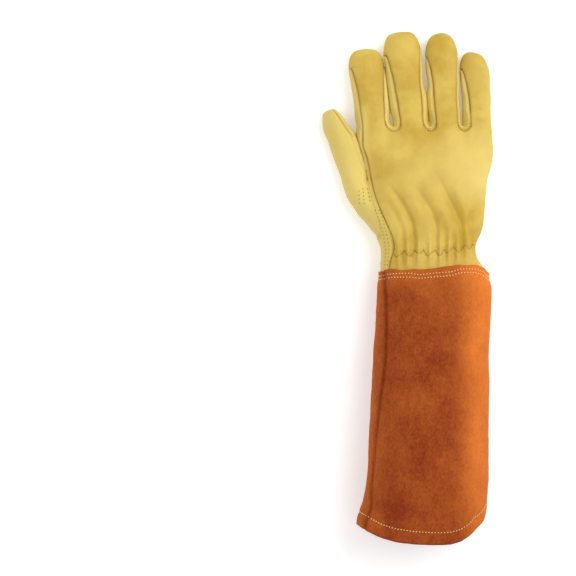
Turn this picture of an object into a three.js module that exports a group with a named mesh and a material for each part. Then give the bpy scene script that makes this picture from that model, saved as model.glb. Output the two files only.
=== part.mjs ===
// Rose pruning gauntlet: a right-hand leather glove with a long suede cuff, lying palm down.
// Millimetres. +X is the little finger's side, +Y runs from cuff to fingertips, +Z is up from the floor.
// One net of quads holds the glove's whole outer skin. Each leather panel is a labelled region of that net,
// drawn in from its seams and thickened inwards, so that neighbouring panels meet along the same lines.
import * as THREE from "three";

const { lerp, smoothstep, degToRad, radToDeg, clamp } = THREE.MathUtils;

// Leather and seams
const leatherWall = 1.2;
const suedeWall = 1.6;
const seamGap = 0.3;
const sleeveClearance = 1;

// Hand
const palmLength = 127;
const palmWidth = 119;
const palmDepth = 42;
const palmSquareness = 2.3;
const palmFlat = 1.2;
const sleeveLength = 15;

// Fingers
const fingerLength = 80;
const fingerWidth = 31.5;
const fingerDepth = 22.5;
const fingerBaseHeight = 15.5;
const fingerArch = 2;
const fingertipFlat = 1.2;
const fingerDomeStart = 0.8;
const forkDepth = 6.5;

// Thumb
const thumbWidth = 28;
const thumbDepth = 21;
const thumbRoll = 48;

// Cuff
const cuffLength = 221;
const cuffWidth = 114;
const cuffDepth = 84;
const cuffSquareness = 2.2;
const cuffTopSlant = 3.9;
const hemSlant = 4;
const hemBow = 24;
const hemLean = 0.7;
const hemTurn = 12;

// Cells across a finger's back or front, across a fork, down a finger's side wall, and round the cuff
const stripCells = 5;
const forkCells = 4;
const sideCells = 3;
const cuffCells = 34;

// Hand sections. at is a share of palmLength from the wrist line, left and right are shares of palmWidth from
// the wrist's centre, height is a share of palmDepth, and the seams are degrees round the section, where the
// back panel meets the palm panel on the thumb's side and on the little finger's side.
const handSections = [
  { at: -0.12, left: -0.37, right: 0.4, height: 1.0, thumbSeam: 147, littleSeam: -14 },
  { at: 0.0, left: -0.362, right: 0.385, height: 1.0, thumbSeam: 145, littleSeam: -14 },
  { at: 0.09, left: -0.36, right: 0.35, height: 0.97, thumbSeam: 137, littleSeam: -15 },
  { at: 0.16, left: -0.366, right: 0.351, height: 1.0, thumbSeam: 133, littleSeam: -15 },
  { at: 0.26, left: -0.407, right: 0.392, height: 1.04, thumbSeam: 132, littleSeam: -16 },
  { at: 0.36, left: -0.432, right: 0.408, height: 1.03, thumbSeam: 138, littleSeam: -16 },
  { at: 0.46, left: -0.447, right: 0.42, height: 1.0, thumbSeam: 151, littleSeam: -17 },
  { at: 0.6, left: -0.458, right: 0.436, height: 0.93, thumbSeam: 162, littleSeam: -18 },
  { at: 0.74, left: -0.466, right: 0.468, height: 0.85, thumbSeam: 161, littleSeam: -19 },
  { at: 0.82, left: -0.514, right: 0.481, height: 0.8, thumbSeam: 160, littleSeam: -20 },
  { at: 0.9, left: -0.538, right: 0.474, height: 0.74, thumbSeam: 159, littleSeam: -20 },
  { at: 1.0, left: -0.54, right: 0.461, height: 0.66, thumbSeam: 158, littleSeam: -20 },
];

// Rows of the hand's net, as shares of palmLength; the thumb's opening lies between two of them.
const handRows = [
  -sleeveLength / palmLength,
  ...[-0.05, 0.03, 0.1, 0.17, 0.26, 0.35, 0.445, 0.54, 0.63, 0.72, 0.8, 0.87, 0.925, 1],
];
const thumbOpening = {
  firstRow: 4,
  lastRow: 10,
  firstColumn: 1,
  peakColumns: 2,
  spreadColumns: 3,
  roundness: 1.8,
};
const frontSeamRow = 13;

// Fingers from the thumb's side. baseX and tipX are shares of palmWidth, and length, width and depth are shares
// of the finger sizes.
const fingers = [
  { name: "index", baseX: -0.41, tipX: -0.473, length: 0.81, width: 0.965, depth: 0.97 },
  { name: "middle", baseX: -0.135, tipX: -0.213, length: 1.0, width: 1.0, depth: 1.0 },
  { name: "ring", baseX: 0.122, tipX: 0.091, length: 0.98, width: 0.87, depth: 0.96 },
  { name: "little", baseX: 0.357, tipX: 0.334, length: 0.775, width: 0.79, depth: 0.87 },
];

// Each finger's four seams at its base, in degrees from the finger's side, on the left and right.
const fingerSeamAngles = {
  index: { backLeft: 48, backRight: 45, frontLeft: -48, frontRight: 45 },
  middle: { backLeft: 54, backRight: 44, frontLeft: 40, frontRight: 44 },
  ring: { backLeft: 53, backRight: 34, frontLeft: 40, frontRight: 44 },
  little: { backLeft: 62, backRight: -20, frontLeft: 40, frontRight: 20 },
};

// A finger's straight part and its domed tip: along is a share of its length, width a share of its width.
const fingerRows = [
  { along: 0.0, width: 1.0 },
  { along: 0.13, width: 1.0 },
  { along: 0.27, width: 1.0 },
  { along: 0.41, width: 1.01 },
  { along: 0.55, width: 1.03 },
  { along: 0.68, width: 1.045 },
  { along: fingerDomeStart, width: 1.045 },
];
const domeTurns = [24, 48, 70, 90];
const tipWidth = 0.5;

// Thumb sections from its opening in the hand to its tip. x is a share of palmWidth, at of palmLength, z of
// palmDepth, turn is the heading in degrees of the section's inner end, tilt leans the section out over the
// thumb's side, width and depth are shares of the thumb's own sizes.
const thumbSections = [
  { along: 0.0, x: -0.35, at: 0.453, z: 0.33, turn: 93, tilt: 54, width: 2.4, depth: 2.2 },
  { along: 0.1, x: -0.43, at: 0.507, z: 0.34, turn: 88, tilt: 43, width: 1.76, depth: 1.75 },
  { along: 0.2, x: -0.5, at: 0.552, z: 0.34, turn: 77, tilt: 26, width: 1.38, depth: 1.35 },
  { along: 0.29, x: -0.548, at: 0.612, z: 0.34, turn: 60, tilt: 10, width: 1.15, depth: 1.14 },
  { along: 0.4, x: -0.571, at: 0.697, z: 0.32, turn: 40, tilt: 0, width: 0.965, depth: 1.02 },
  { along: 0.54, x: -0.612, at: 0.794, z: 0.3, turn: 27, tilt: 0, width: 0.946, depth: 1.0 },
  { along: 0.7, x: -0.655, at: 0.902, z: 0.3, turn: 24, tilt: 0, width: 0.93, depth: 0.97 },
  { along: 0.87, x: -0.71, at: 1.008, z: 0.27, turn: 22, tilt: 0, width: 0.8, depth: 0.84 },
  { along: 1.0, x: -0.744, at: 1.094, z: 0.22, turn: 20, tilt: 0, width: 0.7, depth: 0.7 },
];
const thumbRows = [0, 0.05, 0.1, 0.16, 0.23, 0.31, 0.4, 0.52, 0.66, 0.8];
const thumbRootBlend = 0.34;
const thumbSeamColumns = { finger: 2, wrist: 6 };

// Cuff sections. at is a share of cuffLength from the wrist line, left and right are shares of cuffWidth, and
// height of cuffDepth.
const cuffSections = [
  { at: 0.0, left: -0.394, right: 0.463, height: 0.6, thumbSeam: 146 },
  { at: 0.1, left: -0.402, right: 0.479, height: 0.66, thumbSeam: 143 },
  { at: 0.33, left: -0.432, right: 0.471, height: 0.77, thumbSeam: 140 },
  { at: 0.57, left: -0.455, right: 0.463, height: 0.87, thumbSeam: 144 },
  { at: 0.81, left: -0.479, right: 0.463, height: 0.95, thumbSeam: 150 },
  { at: 0.93, left: -0.518, right: 0.455, height: 0.98, thumbSeam: 148 },
  { at: 1.0, left: -0.563, right: 0.44, height: 1.0, thumbSeam: 147 },
];
const cuffLittleSeam = -32;
const cuffRows = [0, 0.055, 0.14, 0.28, 0.42, 0.56, 0.7, 0.82, 0.9];
const cuffFlat = 1.5;

/** Value of one column of a section table, eased between rows by a cubic with the rows' own slopes. */
function readTable(table, place, key, column) {
  const last = table.length - 1;
  const found = table.findIndex((row) => row[key] > place);
  const i = clamp(found < 0 ? last - 1 : found - 1, 0, last - 1);
  const span = table[i + 1][key] - table[i][key];
  const t = clamp((place - table[i][key]) / span, 0, 1);
  const slope = (j) => {
    const a = table[Math.max(j - 1, 0)];
    const b = table[Math.min(j + 1, last)];
    return ((b[column] - a[column]) / (b[key] - a[key])) * span;
  };
  const rise = table[i + 1][column] - table[i][column];
  const bend = (slope(i) - rise) * (1 - t) - (slope(i + 1) - rise) * t;
  return table[i][column] + rise * t + bend * t * (1 - t);
}

/** Point of a rounded section at an angle in degrees, in shares of its half width and half height. */
function roundedUnit(angle, squareness) {
  const c = Math.cos(degToRad(angle));
  const s = Math.sin(degToRad(angle));
  const power = 2 / squareness;
  return [Math.sign(c) * Math.abs(c) ** power, Math.sign(s) * Math.abs(s) ** power];
}

/** The net: welded points, and quads that each carry the name of their panel. */
class Net {
  constructor() {
    this.points = [];
    this.found = new Map();
    this.faces = [];
  }

  add(point) {
    const key = [point.x, point.y, point.z].map((v) => Math.round(v * 2000)).join();
    if (!this.found.has(key)) {
      this.found.set(key, this.points.length);
      this.points.push(point);
    }
    return this.found.get(key);
  }

  /** A sheet of rows by columns. Its outer side is where row direction x column direction points. */
  sheet(rows, columns, pointAt, labelAt) {
    const ids = [];
    for (let r = 0; r <= rows; r += 1) {
      ids.push([]);
      for (let c = 0; c <= columns; c += 1) ids[r].push(this.add(pointAt(r, c)));
    }
    for (let r = 0; r < rows; r += 1) {
      for (let c = 0; c < columns; c += 1) {
        const label = labelAt(r, c);
        const corners = [ids[r][c], ids[r + 1][c], ids[r + 1][c + 1], ids[r][c + 1]];
        const loop = corners.filter((id, k) => id !== corners[(k + 1) % 4]);
        const [a, b, d, e] = corners.map((id) => this.points[id]);
        if (loop.length === 4 && a.distanceTo(d) > b.distanceTo(e)) loop.push(loop.shift());
        if (label && loop.length > 2) this.faces.push({ label, loop });
      }
    }
  }

  /** Outward direction at every point, shared by all panels there: each cell counts by its angle. */
  normals() {
    const sums = this.points.map(() => new THREE.Vector3());
    for (const { loop } of this.faces) {
      const edges = loop.map((id, k) => this.points[loop[(k + 1) % loop.length]].clone().sub(this.points[id]));
      const area = new THREE.Vector3();
      edges.forEach((edge, k) => area.add(edges[(k + edges.length - 1) % edges.length].clone().cross(edge)));
      area.normalize();
      loop.forEach((id, k) => {
        const before = edges[(k + edges.length - 1) % edges.length].clone().negate();
        sums[id].addScaledVector(area, before.angleTo(edges[k]));
      });
    }
    return sums.map((v) => v.normalize());
  }
}

/** One panel as a closed solid: its region of the net, drawn in by half the seam gap and thickened inwards. */
function panelGeometry(net, label, wallAt) {
  const normals = net.normals();
  const faces = net.faces.filter((face) => face.label === label);
  const edges = new Map();
  for (const { loop } of faces) {
    loop.forEach((a, k) => edges.set(`${a}_${loop[(k + 1) % loop.length]}`, [a, loop[(k + 1) % loop.length]]));
  }
  const rim = [...edges.values()].filter(([a, b]) => !edges.has(`${b}_${a}`));
  const inward = new Map();
  for (const [a, b] of rim) {
    const along = net.points[b].clone().sub(net.points[a]);
    for (const id of [a, b]) {
      const side = normals[id].clone().cross(along).normalize();
      inward.set(id, [...(inward.get(id) ?? []), side]);
    }
  }
  const shiftOf = (id) => {
    const sides = inward.get(id);
    if (!sides) return new THREE.Vector3();
    const meeting = Math.max(1 + sides[0].dot(sides[1]), 0.15);
    return sides[0].clone().add(sides[1]).multiplyScalar(seamGap / 2 / meeting);
  };
  const places = new Map();
  const positions = [];
  const pairOf = (id) => {
    if (!places.has(id)) {
      const outer = net.points[id].clone().add(shiftOf(id));
      const inner = outer.clone().addScaledVector(normals[id], -wallAt(net.points[id]));
      places.set(id, positions.length / 3);
      positions.push(...outer.toArray(), ...inner.toArray());
    }
    return places.get(id);
  };
  const triangles = [];
  for (const { loop } of faces) {
    const at = loop.map(pairOf);
    for (let k = 1; k + 1 < at.length; k += 1) {
      triangles.push(at[0], at[k], at[k + 1], at[0] + 1, at[k + 1] + 1, at[k] + 1);
    }
  }
  for (const [a, b] of rim) {
    const [p, q] = [pairOf(a), pairOf(b)];
    triangles.push(q, p, p + 1, q, p + 1, q + 1);
  }
  const geometry = new THREE.BufferGeometry();
  geometry.setAttribute("position", new THREE.Float32BufferAttribute(positions, 3));
  geometry.setIndex(triangles);
  geometry.computeVertexNormals();
  return geometry;
}

/** Distance along Y of a place on the cuff: its top edge slants and its hem bows out between the side seams. */
function cuffY(at, angle) {
  const side = Math.cos(degToRad(angle));
  const bow = hemBow * Math.abs(Math.sin(degToRad(angle))) ** (2 * hemLean - hemLean * side);
  return lerp(cuffTopSlant * side, hemSlant * side - cuffLength - bow, at);
}

/** Point of the cuff at a share of its length and an angle round it, drawn in by inset. */
function cuffPoint(at, angle, inset = 0) {
  const left = readTable(cuffSections, at, "at", "left") * cuffWidth + inset;
  const right = readTable(cuffSections, at, "at", "right") * cuffWidth - inset;
  const height = readTable(cuffSections, at, "at", "height") * cuffDepth;
  const [u, v] = roundedUnit(angle, cuffSquareness);
  const z = height / 2 - cuffFlat + (height / 2 - inset) * v;
  return new THREE.Vector3((left + right) / 2 + ((right - left) / 2) * u, cuffY(at, angle), Math.max(z, inset));
}

/** Hand section at a height y above the wrist line; inside the cuff it follows the cuff's wall. */
function handPoint(y, angle) {
  const at = y / palmLength;
  const left = readTable(handSections, at, "at", "left") * palmWidth;
  const right = readTable(handSections, at, "at", "right") * palmWidth;
  const height = readTable(handSections, at, "at", "height") * palmDepth;
  const lift = (suedeWall + sleeveClearance) * (1 - smoothstep(at, 0.05, 0.2));
  const [u, v] = roundedUnit(angle, palmSquareness);
  const z = lift - palmFlat + height / 2 + (height / 2) * v;
  const skin = new THREE.Vector3((left + right) / 2 + ((right - left) / 2) * u, y, z);
  const cuffAt = clamp((cuffY(0, angle) - y) / (cuffY(0, angle) - cuffY(1, angle)), 0, 1);
  const sleeve = cuffPoint(cuffAt, angle, suedeWall + sleeveClearance);
  sleeve.y = y;
  return skin.lerp(sleeve, 1 - smoothstep(at, -0.07, 0.06));
}

/** A finger's axis, sizes and seams at a share of its length; below 0 it runs on into the hand. */
function fingerSection(finger, along) {
  const length = finger.length * fingerLength;
  const lean = Math.atan2((finger.baseX - finger.tipX) * palmWidth, length);
  const dome = clamp((along - fingerDomeStart) / (1 - fingerDomeStart), 0, 1);
  const shoulder = Math.sqrt(1 - dome * dome);
  const width = readTable(fingerRows, along, "along", "width") * lerp(tipWidth, 1, shoulder);
  const tipHeight = (finger.depth * fingerDepth) / 2 - fingertipFlat;
  const height = lerp(fingerBaseHeight, tipHeight, clamp(along / fingerDomeStart, 0, 1));
  return {
    centre: new THREE.Vector3(
      lerp(finger.baseX, finger.tipX, along) * palmWidth,
      palmLength + along * length,
      height + fingerArch * Math.sin(Math.PI * clamp(along, 0, 1)),
    ),
    across: new THREE.Vector3(Math.cos(lean), Math.sin(lean), 0),
    halfWidth: (finger.width * fingerWidth * width) / 2,
    halfDepth: (finger.depth * fingerDepth * shoulder) / 2,
  };
}

/** Point of a finger's skin at a share of its length and an angle round it. */
function fingerPoint(finger, along, angle) {
  const { centre, across, halfWidth, halfDepth } = fingerSection(finger, along);
  const point = centre.clone().addScaledVector(across, halfWidth * Math.cos(degToRad(angle)));
  point.z = Math.max(point.z + halfDepth * Math.sin(degToRad(angle)), 0);
  return point;
}

/** The finger's four seam angles, which close on its two sides where the dome begins. */
function fingerSeams(finger, along) {
  const open = Math.sqrt(Math.max(1 - (Math.max(along, 0) / fingerDomeStart) ** 2, 0));
  const { backLeft, backRight, frontLeft, frontRight } = fingerSeamAngles[finger.name];
  return {
    backRight: backRight * open,
    backLeft: 180 - backLeft * open,
    frontLeft: 180 + frontLeft * open,
    frontRight: 360 - frontRight * open,
  };
}

/** All rows of a finger as shares of its length: the straight part's, then the dome's. */
const fingerStations = [
  ...fingerRows.map((row) => row.along),
  ...domeTurns.map((turn) => lerp(fingerDomeStart, 1, Math.sin(degToRad(turn)))),
];
const apexRow = fingerRows.length - 1;

/** Half turn from one point to another round the bottom of a fork, which dips towards the wrist. */
function forkTurn(from, to, share, dip) {
  const middle = from.clone().add(to).multiplyScalar(0.5);
  const turn = Math.PI * share;
  const point = middle.clone().addScaledVector(from.clone().sub(middle), Math.cos(turn));
  point.y -= dip * Math.sin(turn);
  return point;
}

/** The upper, middle and lower lines of the side wall in a fork, at a share of the way round its bottom. */
function forkLines(left, right, share) {
  const l = fingerSeams(left, 0);
  const r = fingerSeams(right, 0);
  const gap = fingerPoint(right, 0, 180).x - fingerPoint(left, 0, 0).x;
  return {
    upper: forkTurn(fingerPoint(left, 0, l.backRight), fingerPoint(right, 0, r.backLeft), share, forkDepth),
    middle: forkTurn(fingerPoint(left, 0, 0), fingerPoint(right, 0, 180), share, gap / 2),
    lower: forkTurn(fingerPoint(left, 0, l.frontRight), fingerPoint(right, 0, r.frontLeft), share, forkDepth),
  };
}

/** Adds one finger's back and front strips, from its base to the seam over its tip. */
function addFingerStrips(net, finger) {
  const rows = fingerStations.length - 1;
  const strip = (from, to) => (r, c) => {
    const seams = fingerSeams(finger, fingerStations[r]);
    const end = to === "backRight" ? seams[to] + 360 : seams[to];
    return fingerPoint(finger, fingerStations[r], lerp(seams[from], end, c / stripCells));
  };
  const inner = finger.name === "middle" || finger.name === "ring";
  const startFront = finger.name === "index" ? "backLeft" : "frontLeft";
  const endFront = finger.name === "little" ? "backRight" : "frontRight";
  net.sheet(rows, stripCells, strip("backRight", "backLeft"), () => "back_panel");
  const front = inner ? `${finger.name}_front` : "palm_panel";
  net.sheet(rows, stripCells, strip(startFront, endFront), () => front);
}

/** Adds the side wall between two fingers: down one, round the fork and up the other. */
function addFourchette(net, left, right, label) {
  const down = apexRow;
  const rows = down + forkCells + down;
  const wall = (finger, row, c, onLeft) => {
    const seams = fingerSeams(finger, fingerStations[row]);
    const top = onLeft ? seams.backRight : seams.backLeft;
    const bottom = onLeft ? seams.frontRight - 360 : seams.frontLeft;
    const level = 2 * (c / sideCells) - 1;
    const side = onLeft ? 0 : 180;
    const angle = level < 0 ? lerp(side, top, -level) : lerp(side, bottom, level);
    return fingerPoint(finger, fingerStations[row], angle);
  };
  const turn = (r, c) => {
    const share = (r - down) / forkCells;
    const { upper, middle, lower } = forkLines(left, right, share);
    const level = 2 * (c / sideCells) - 1;
    const startAngle = level < 0 ? fingerSeams(left, 0).backRight : 360 - fingerSeams(left, 0).frontRight;
    const endAngle = level < 0 ? 180 - fingerSeams(right, 0).backLeft : fingerSeams(right, 0).frontLeft - 180;
    const full = degToRad(lerp(startAngle, endAngle, share));
    const outer = level < 0 ? upper : lower;
    const axis = outer.clone().addScaledVector(middle, -Math.cos(full)).divideScalar(1 - Math.cos(full));
    axis.z = middle.z;
    const angle = full * Math.abs(level);
    const reach = (1 - Math.cos(angle)) / (1 - Math.cos(full));
    const point = middle.clone().lerp(outer, reach);
    point.z = lerp(middle.z, outer.z, Math.sin(angle) / Math.sin(full));
    return point;
  };
  net.sheet(
    rows,
    sideCells,
    (r, c) => {
      if (r <= down) return wall(left, down - r, c, true);
      if (r >= down + forkCells) return wall(right, r - down - forkCells, c, false);
      return turn(r, c);
    },
    () => label,
  );
}

/** The columns of the hand's net in order round it, each with its point on the finger base line. */
function handColumns() {
  const columns = [];
  const strip = (finger, from, to, side) => {
    const seams = fingerSeams(finger, 0);
    const end = to === "backRight" ? seams[to] + 360 : seams[to];
    for (let k = 0; k < stripCells; k += 1) {
      const point = fingerPoint(finger, 0, lerp(seams[from], end, k / stripCells));
      columns.push({ point, axis: fingerSection(finger, 0).across, side, place: finger.name });
    }
  };
  const fork = (left, right, line, side) => {
    for (let k = 0; k < forkCells; k += 1) {
      const share = side === "back" ? 1 - k / forkCells : k / forkCells;
      const point = forkLines(left, right, share)[line];
      const axis = fingerSection(left, 0).across.clone().lerp(fingerSection(right, 0).across, share);
      const nearer = k < forkCells / 2 ? left : right;
      columns.push({ point, axis, side, place: side === "back" ? "fork" : nearer.name });
    }
  };
  for (let i = fingers.length - 1; i >= 0; i -= 1) {
    strip(fingers[i], "backRight", "backLeft", "back");
    if (i > 0) fork(fingers[i - 1], fingers[i], "upper", "back");
  }
  fingers.forEach((finger, i) => {
    const start = i === 0 ? "backLeft" : "frontLeft";
    const end = i === fingers.length - 1 ? "backRight" : "frontRight";
    strip(finger, start, end, "palm");
    if (i < fingers.length - 1) fork(finger, fingers[i + 1], "lower", "palm");
  });
  return columns;
}

const columns = handColumns();
const backColumns = columns.filter((column) => column.side === "back").length;
const openingColumns = stripCells + forkCells - thumbOpening.firstColumn;

/** Angle of a column round the hand: its own at the fingers, spread between the two side seams lower down. */
function columnAngle(c, at) {
  const base = handSections[handSections.length - 1];
  const middleX = ((base.left + base.right) / 2) * palmWidth;
  const halfWidth = ((base.right - base.left) / 2) * palmWidth;
  const angleOf = (column) => {
    const u = clamp((column.point.x - middleX) / halfWidth, -1, 1);
    const turn = radToDeg(Math.acos(Math.sign(u) * Math.abs(u) ** (palmSquareness / 2)));
    if (column.point.z > fingerBaseHeight) return turn;
    return column.side === "back" ? -turn : 360 - turn;
  };
  const first = angleOf(columns[0]);
  const middle = angleOf(columns[backColumns]);
  const thumbSeam = readTable(handSections, at, "at", "thumbSeam");
  const littleSeam = readTable(handSections, at, "at", "littleSeam");
  const i = Math.floor(c);
  const here = angleOf(columns[i % columns.length]) + (i >= columns.length ? 360 : 0);
  const next = angleOf(columns[(i + 1) % columns.length]) + (i + 1 >= columns.length ? 360 : 0);
  const own = lerp(here, next, c - i);
  if (own <= middle) return lerp(littleSeam, thumbSeam, (own - first) / (middle - first));
  return lerp(thumbSeam, littleSeam + 360, (own - middle) / (first + 360 - middle));
}

/** Rounds the thumb's opening: pulls the corners of a block of the net in to an oval, and fades out past it. */
function roundOpening(c, at) {
  const low = handRows[thumbOpening.firstRow];
  const high = handRows[thumbOpening.lastRow];
  const { peakColumns, spreadColumns, firstColumn, roundness } = thumbOpening;
  const peak = backColumns + firstColumn + peakColumns;
  const reach = c < peak ? peakColumns : openingColumns - peakColumns;
  const spread = c < peak ? firstColumn : spreadColumns;
  const p = (c - peak) / reach;
  const q = (at - (low + high) / 2) / ((high - low) / 2);
  const fade = (1 - smoothstep(Math.abs(p), 1, 1 + spread / reach)) * (1 - smoothstep(Math.abs(q), 1, 1.3));
  const round = (Math.abs(p) ** roundness + Math.abs(q) ** roundness) ** (1 / roundness);
  const scale = lerp(1, Math.max(Math.abs(p), Math.abs(q)) / Math.max(round, 1e-6), fade);
  return [peak + p * scale * reach, (low + high) / 2 + (q * scale * (high - low)) / 2];
}

/** Point of the hand's skin at a column and a share of palmLength. */
function handNetPoint(column, share) {
  const [c, at] = roundOpening(column, share);
  const own = columns[column % columns.length];
  const y = at * palmLength - (palmLength - own.point.y) * smoothstep(at, handRows[frontSeamRow], 1);
  const skin = handPoint(y, columnAngle(c, at));
  const back = own.point.y - y;
  const root = new THREE.Vector3(own.point.x + (back * own.axis.y) / own.axis.x, y, own.point.z);
  const point = skin.lerp(root, smoothstep(at, 0.74, 1));
  point.z = Math.max(point.z, 0);
  return point;
}

/** The panel that a cell of the hand's net belongs to, or nothing inside the thumb's opening. */
function handLabel(row, column) {
  if (column < backColumns) return "back_panel";
  const c = column - backColumns - thumbOpening.firstColumn;
  const inRows = row >= thumbOpening.firstRow && row < thumbOpening.lastRow;
  if (inRows && c >= 0 && c < openingColumns) return null;
  const { place } = columns[column];
  const front = row >= frontSeamRow && (place === "middle" || place === "ring");
  return front ? `${place}_front` : "palm_panel";
}

/** The thumb opening's rim: its upper part from the fingers' end to the wrist's end, then its lower part. */
function thumbRim() {
  const { firstRow, lastRow, firstColumn } = thumbOpening;
  const first = backColumns + firstColumn;
  const last = first + openingColumns;
  const finger = first + thumbSeamColumns.finger;
  const wrist = first + thumbSeamColumns.wrist;
  const upper = [];
  for (let c = finger; c > first; c -= 1) upper.push([c, lastRow]);
  for (let r = lastRow; r > firstRow; r -= 1) upper.push([first, r]);
  for (let c = first; c < wrist; c += 1) upper.push([c, firstRow]);
  const lower = [];
  for (let c = wrist; c < last; c += 1) lower.push([c, firstRow]);
  for (let r = firstRow; r < lastRow; r += 1) lower.push([last, r]);
  for (let c = last; c > finger; c -= 1) lower.push([c, lastRow]);
  const points = [...upper, ...lower].map(([c, r]) => handNetPoint(c, handRows[r]));
  return { points, upperCells: upper.length };
}

/** The thumb's own oval at a share of its length: its centre, half axes and their directions. */
function thumbSection(along) {
  const domeStart = thumbRows[thumbRows.length - 1];
  const dome = clamp((along - domeStart) / (1 - domeStart), 0, 1);
  const shoulder = Math.sqrt(1 - dome * dome);
  const read = (column) => readTable(thumbSections, along, "along", column);
  const turn = degToRad(read("turn"));
  const tilt = degToRad(read("tilt"));
  const roll = degToRad(thumbRoll * smoothstep(along, 0.05, 0.5));
  const level = new THREE.Vector3(Math.cos(turn), Math.sin(turn), 0);
  const ahead = new THREE.Vector3(-Math.sin(turn), Math.cos(turn), 0);
  const up = new THREE.Vector3(0, 0, Math.cos(tilt)).addScaledVector(ahead, Math.sin(tilt));
  return {
    centre: new THREE.Vector3(read("x") * palmWidth, read("at") * palmLength, read("z") * palmDepth),
    across: level.clone().multiplyScalar(Math.cos(roll)).addScaledVector(up, Math.sin(roll)),
    over: up.clone().multiplyScalar(Math.cos(roll)).addScaledVector(level, -Math.sin(roll)),
    halfWidth: ((read("width") * thumbWidth) / 2) * lerp(tipWidth, 1, shoulder),
    halfDepth: ((read("depth") * thumbDepth) / 2) * shoulder,
  };
}

/** Point of the thumb's oval at a share of its length and an angle round it. */
function thumbPoint(along, angle) {
  const { centre, across, over, halfWidth, halfDepth } = thumbSection(along);
  return centre
    .addScaledVector(across, halfWidth * Math.cos(degToRad(angle)))
    .addScaledVector(over, halfDepth * Math.sin(degToRad(angle)));
}

/** Adds the thumb: a tube from the opening's rim to a seam over its tip, folded from one piece. */
function addThumb(net) {
  const { points, upperCells } = thumbRim();
  const root = thumbSection(0);
  const lowerCells = points.length - upperCells;
  const rim = points.map((point, c) => {
    const arm = point.clone().sub(root.centre);
    const over = arm.dot(root.over) / root.halfDepth;
    const turn = radToDeg(Math.atan2(over, arm.dot(root.across) / root.halfWidth));
    const own = c <= upperCells ? (180 * c) / upperCells : 180 + (180 * (c - upperCells)) / lowerCells;
    const from = turn + 360 * Math.round((own - turn) / 360);
    return { point, from, own, offset: point.clone().sub(thumbPoint(0, from)) };
  });
  const domeStart = thumbRows[thumbRows.length - 1];
  const stations = [...thumbRows, ...domeTurns.map((turn) => lerp(domeStart, 1, Math.sin(degToRad(turn))))];
  net.sheet(
    stations.length - 1,
    rim.length,
    (r, c) => {
      const { from, own, offset } = rim[c % rim.length];
      const fade = 1 - smoothstep(stations[r], 0, thumbRootBlend);
      const point = thumbPoint(stations[r], lerp(own, from, fade)).addScaledVector(offset, fade);
      point.z = Math.max(point.z, 0);
      return point;
    },
    () => "thumb",
  );
}

/** Adds the cuff, from its hem to its top edge; the hem bows out between the two side seams. */
function addCuff(net) {
  const hem = [1, 1 - hemTurn / cuffLength, 1 - (hemTurn + suedeWall) / cuffLength];
  const rows = [...hem, ...[...cuffRows].reverse()];
  net.sheet(
    rows.length - 1,
    cuffCells,
    (r, c) => {
      const at = rows[r];
      const half = cuffCells / 2;
      const thumbSeam = readTable(cuffSections, at, "at", "thumbSeam");
      const k = c % cuffCells;
      const onBack = lerp(cuffLittleSeam, thumbSeam, k / half);
      const onPalm = lerp(thumbSeam, cuffLittleSeam + 360, k / half - 1);
      const point = cuffPoint(at, k <= half ? onBack : onPalm);
      return Object.assign(point, { fromHem: (1 - at) * cuffLength });
    },
    (r, c) => (c < cuffCells / 2 ? "cuff_back" : "cuff_palm"),
  );
}

const hand = new Net();
hand.sheet(handRows.length - 1, columns.length, (r, c) => handNetPoint(c, handRows[r]), handLabel);
fingers.forEach((finger) => addFingerStrips(hand, finger));
fingers.slice(1).forEach((finger, i) => {
  addFourchette(hand, fingers[i], finger, `fourchette_${fingers[i].name}_${finger.name}`);
});
addThumb(hand);

const cuff = new Net();
addCuff(cuff);

const leather = { color: 0xd9bc58, roughness: 0.55, metalness: 0 };
const suede = { color: 0xa34c1f, roughness: 0.95, metalness: 0 };

const glove = new THREE.Group();

/** Adds each panel of a net as its own named mesh with a material of its own. */
function addPanels(net, finish, wallAt) {
  for (const name of new Set(net.faces.map((face) => face.label))) {
    const material = new THREE.MeshStandardMaterial(finish);
    const mesh = new THREE.Mesh(panelGeometry(net, name, wallAt), material);
    mesh.name = name;
    glove.add(mesh);
  }
}

/** The cuff's wall is doubled where the hem is turned in. */
function cuffWall(point) {
  return point.fromHem < hemTurn + suedeWall / 2 ? 2 * suedeWall : suedeWall;
}

addPanels(hand, leather, () => leatherWall);
addPanels(cuff, suede, cuffWall);

// The origin is under the middle of the glove, on the floor.
const extent = new THREE.Box3().setFromObject(glove);
const middle = extent.getCenter(new THREE.Vector3());
glove.position.set(-middle.x, -middle.y, -extent.min.z);

export default glove;
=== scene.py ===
"""Looks of a rose pruning gauntlet: a right-hand leather glove with a long suede cuff, lying palm down.

The hand and the cuff are each one net of quads, worked out from section tables in millimetres. Every panel is a
labelled region of its net, drawn in from its seams, given its relief and thickened inwards.
"""

import functools

import bpy
import numpy as np
from bpy.props import FloatProperty, FloatVectorProperty, PointerProperty
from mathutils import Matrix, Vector
from mathutils.bvhtree import BVHTree


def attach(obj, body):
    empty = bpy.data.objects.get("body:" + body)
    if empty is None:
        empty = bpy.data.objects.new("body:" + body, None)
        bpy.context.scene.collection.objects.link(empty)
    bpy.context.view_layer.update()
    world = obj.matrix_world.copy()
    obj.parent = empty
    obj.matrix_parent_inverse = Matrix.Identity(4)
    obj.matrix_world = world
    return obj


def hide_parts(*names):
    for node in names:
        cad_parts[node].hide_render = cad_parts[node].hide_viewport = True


bl_info = {
    "name": "Rose pruning gauntlet",
    "version": (1, 0, 0),
    "blender": (4, 5, 0),
    "location": "3D View > Sidebar > Gauntlet",
    "description": "Builds the panels, seams and stitches of a rose pruning gauntlet",
    "category": "Add Mesh",
}

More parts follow.
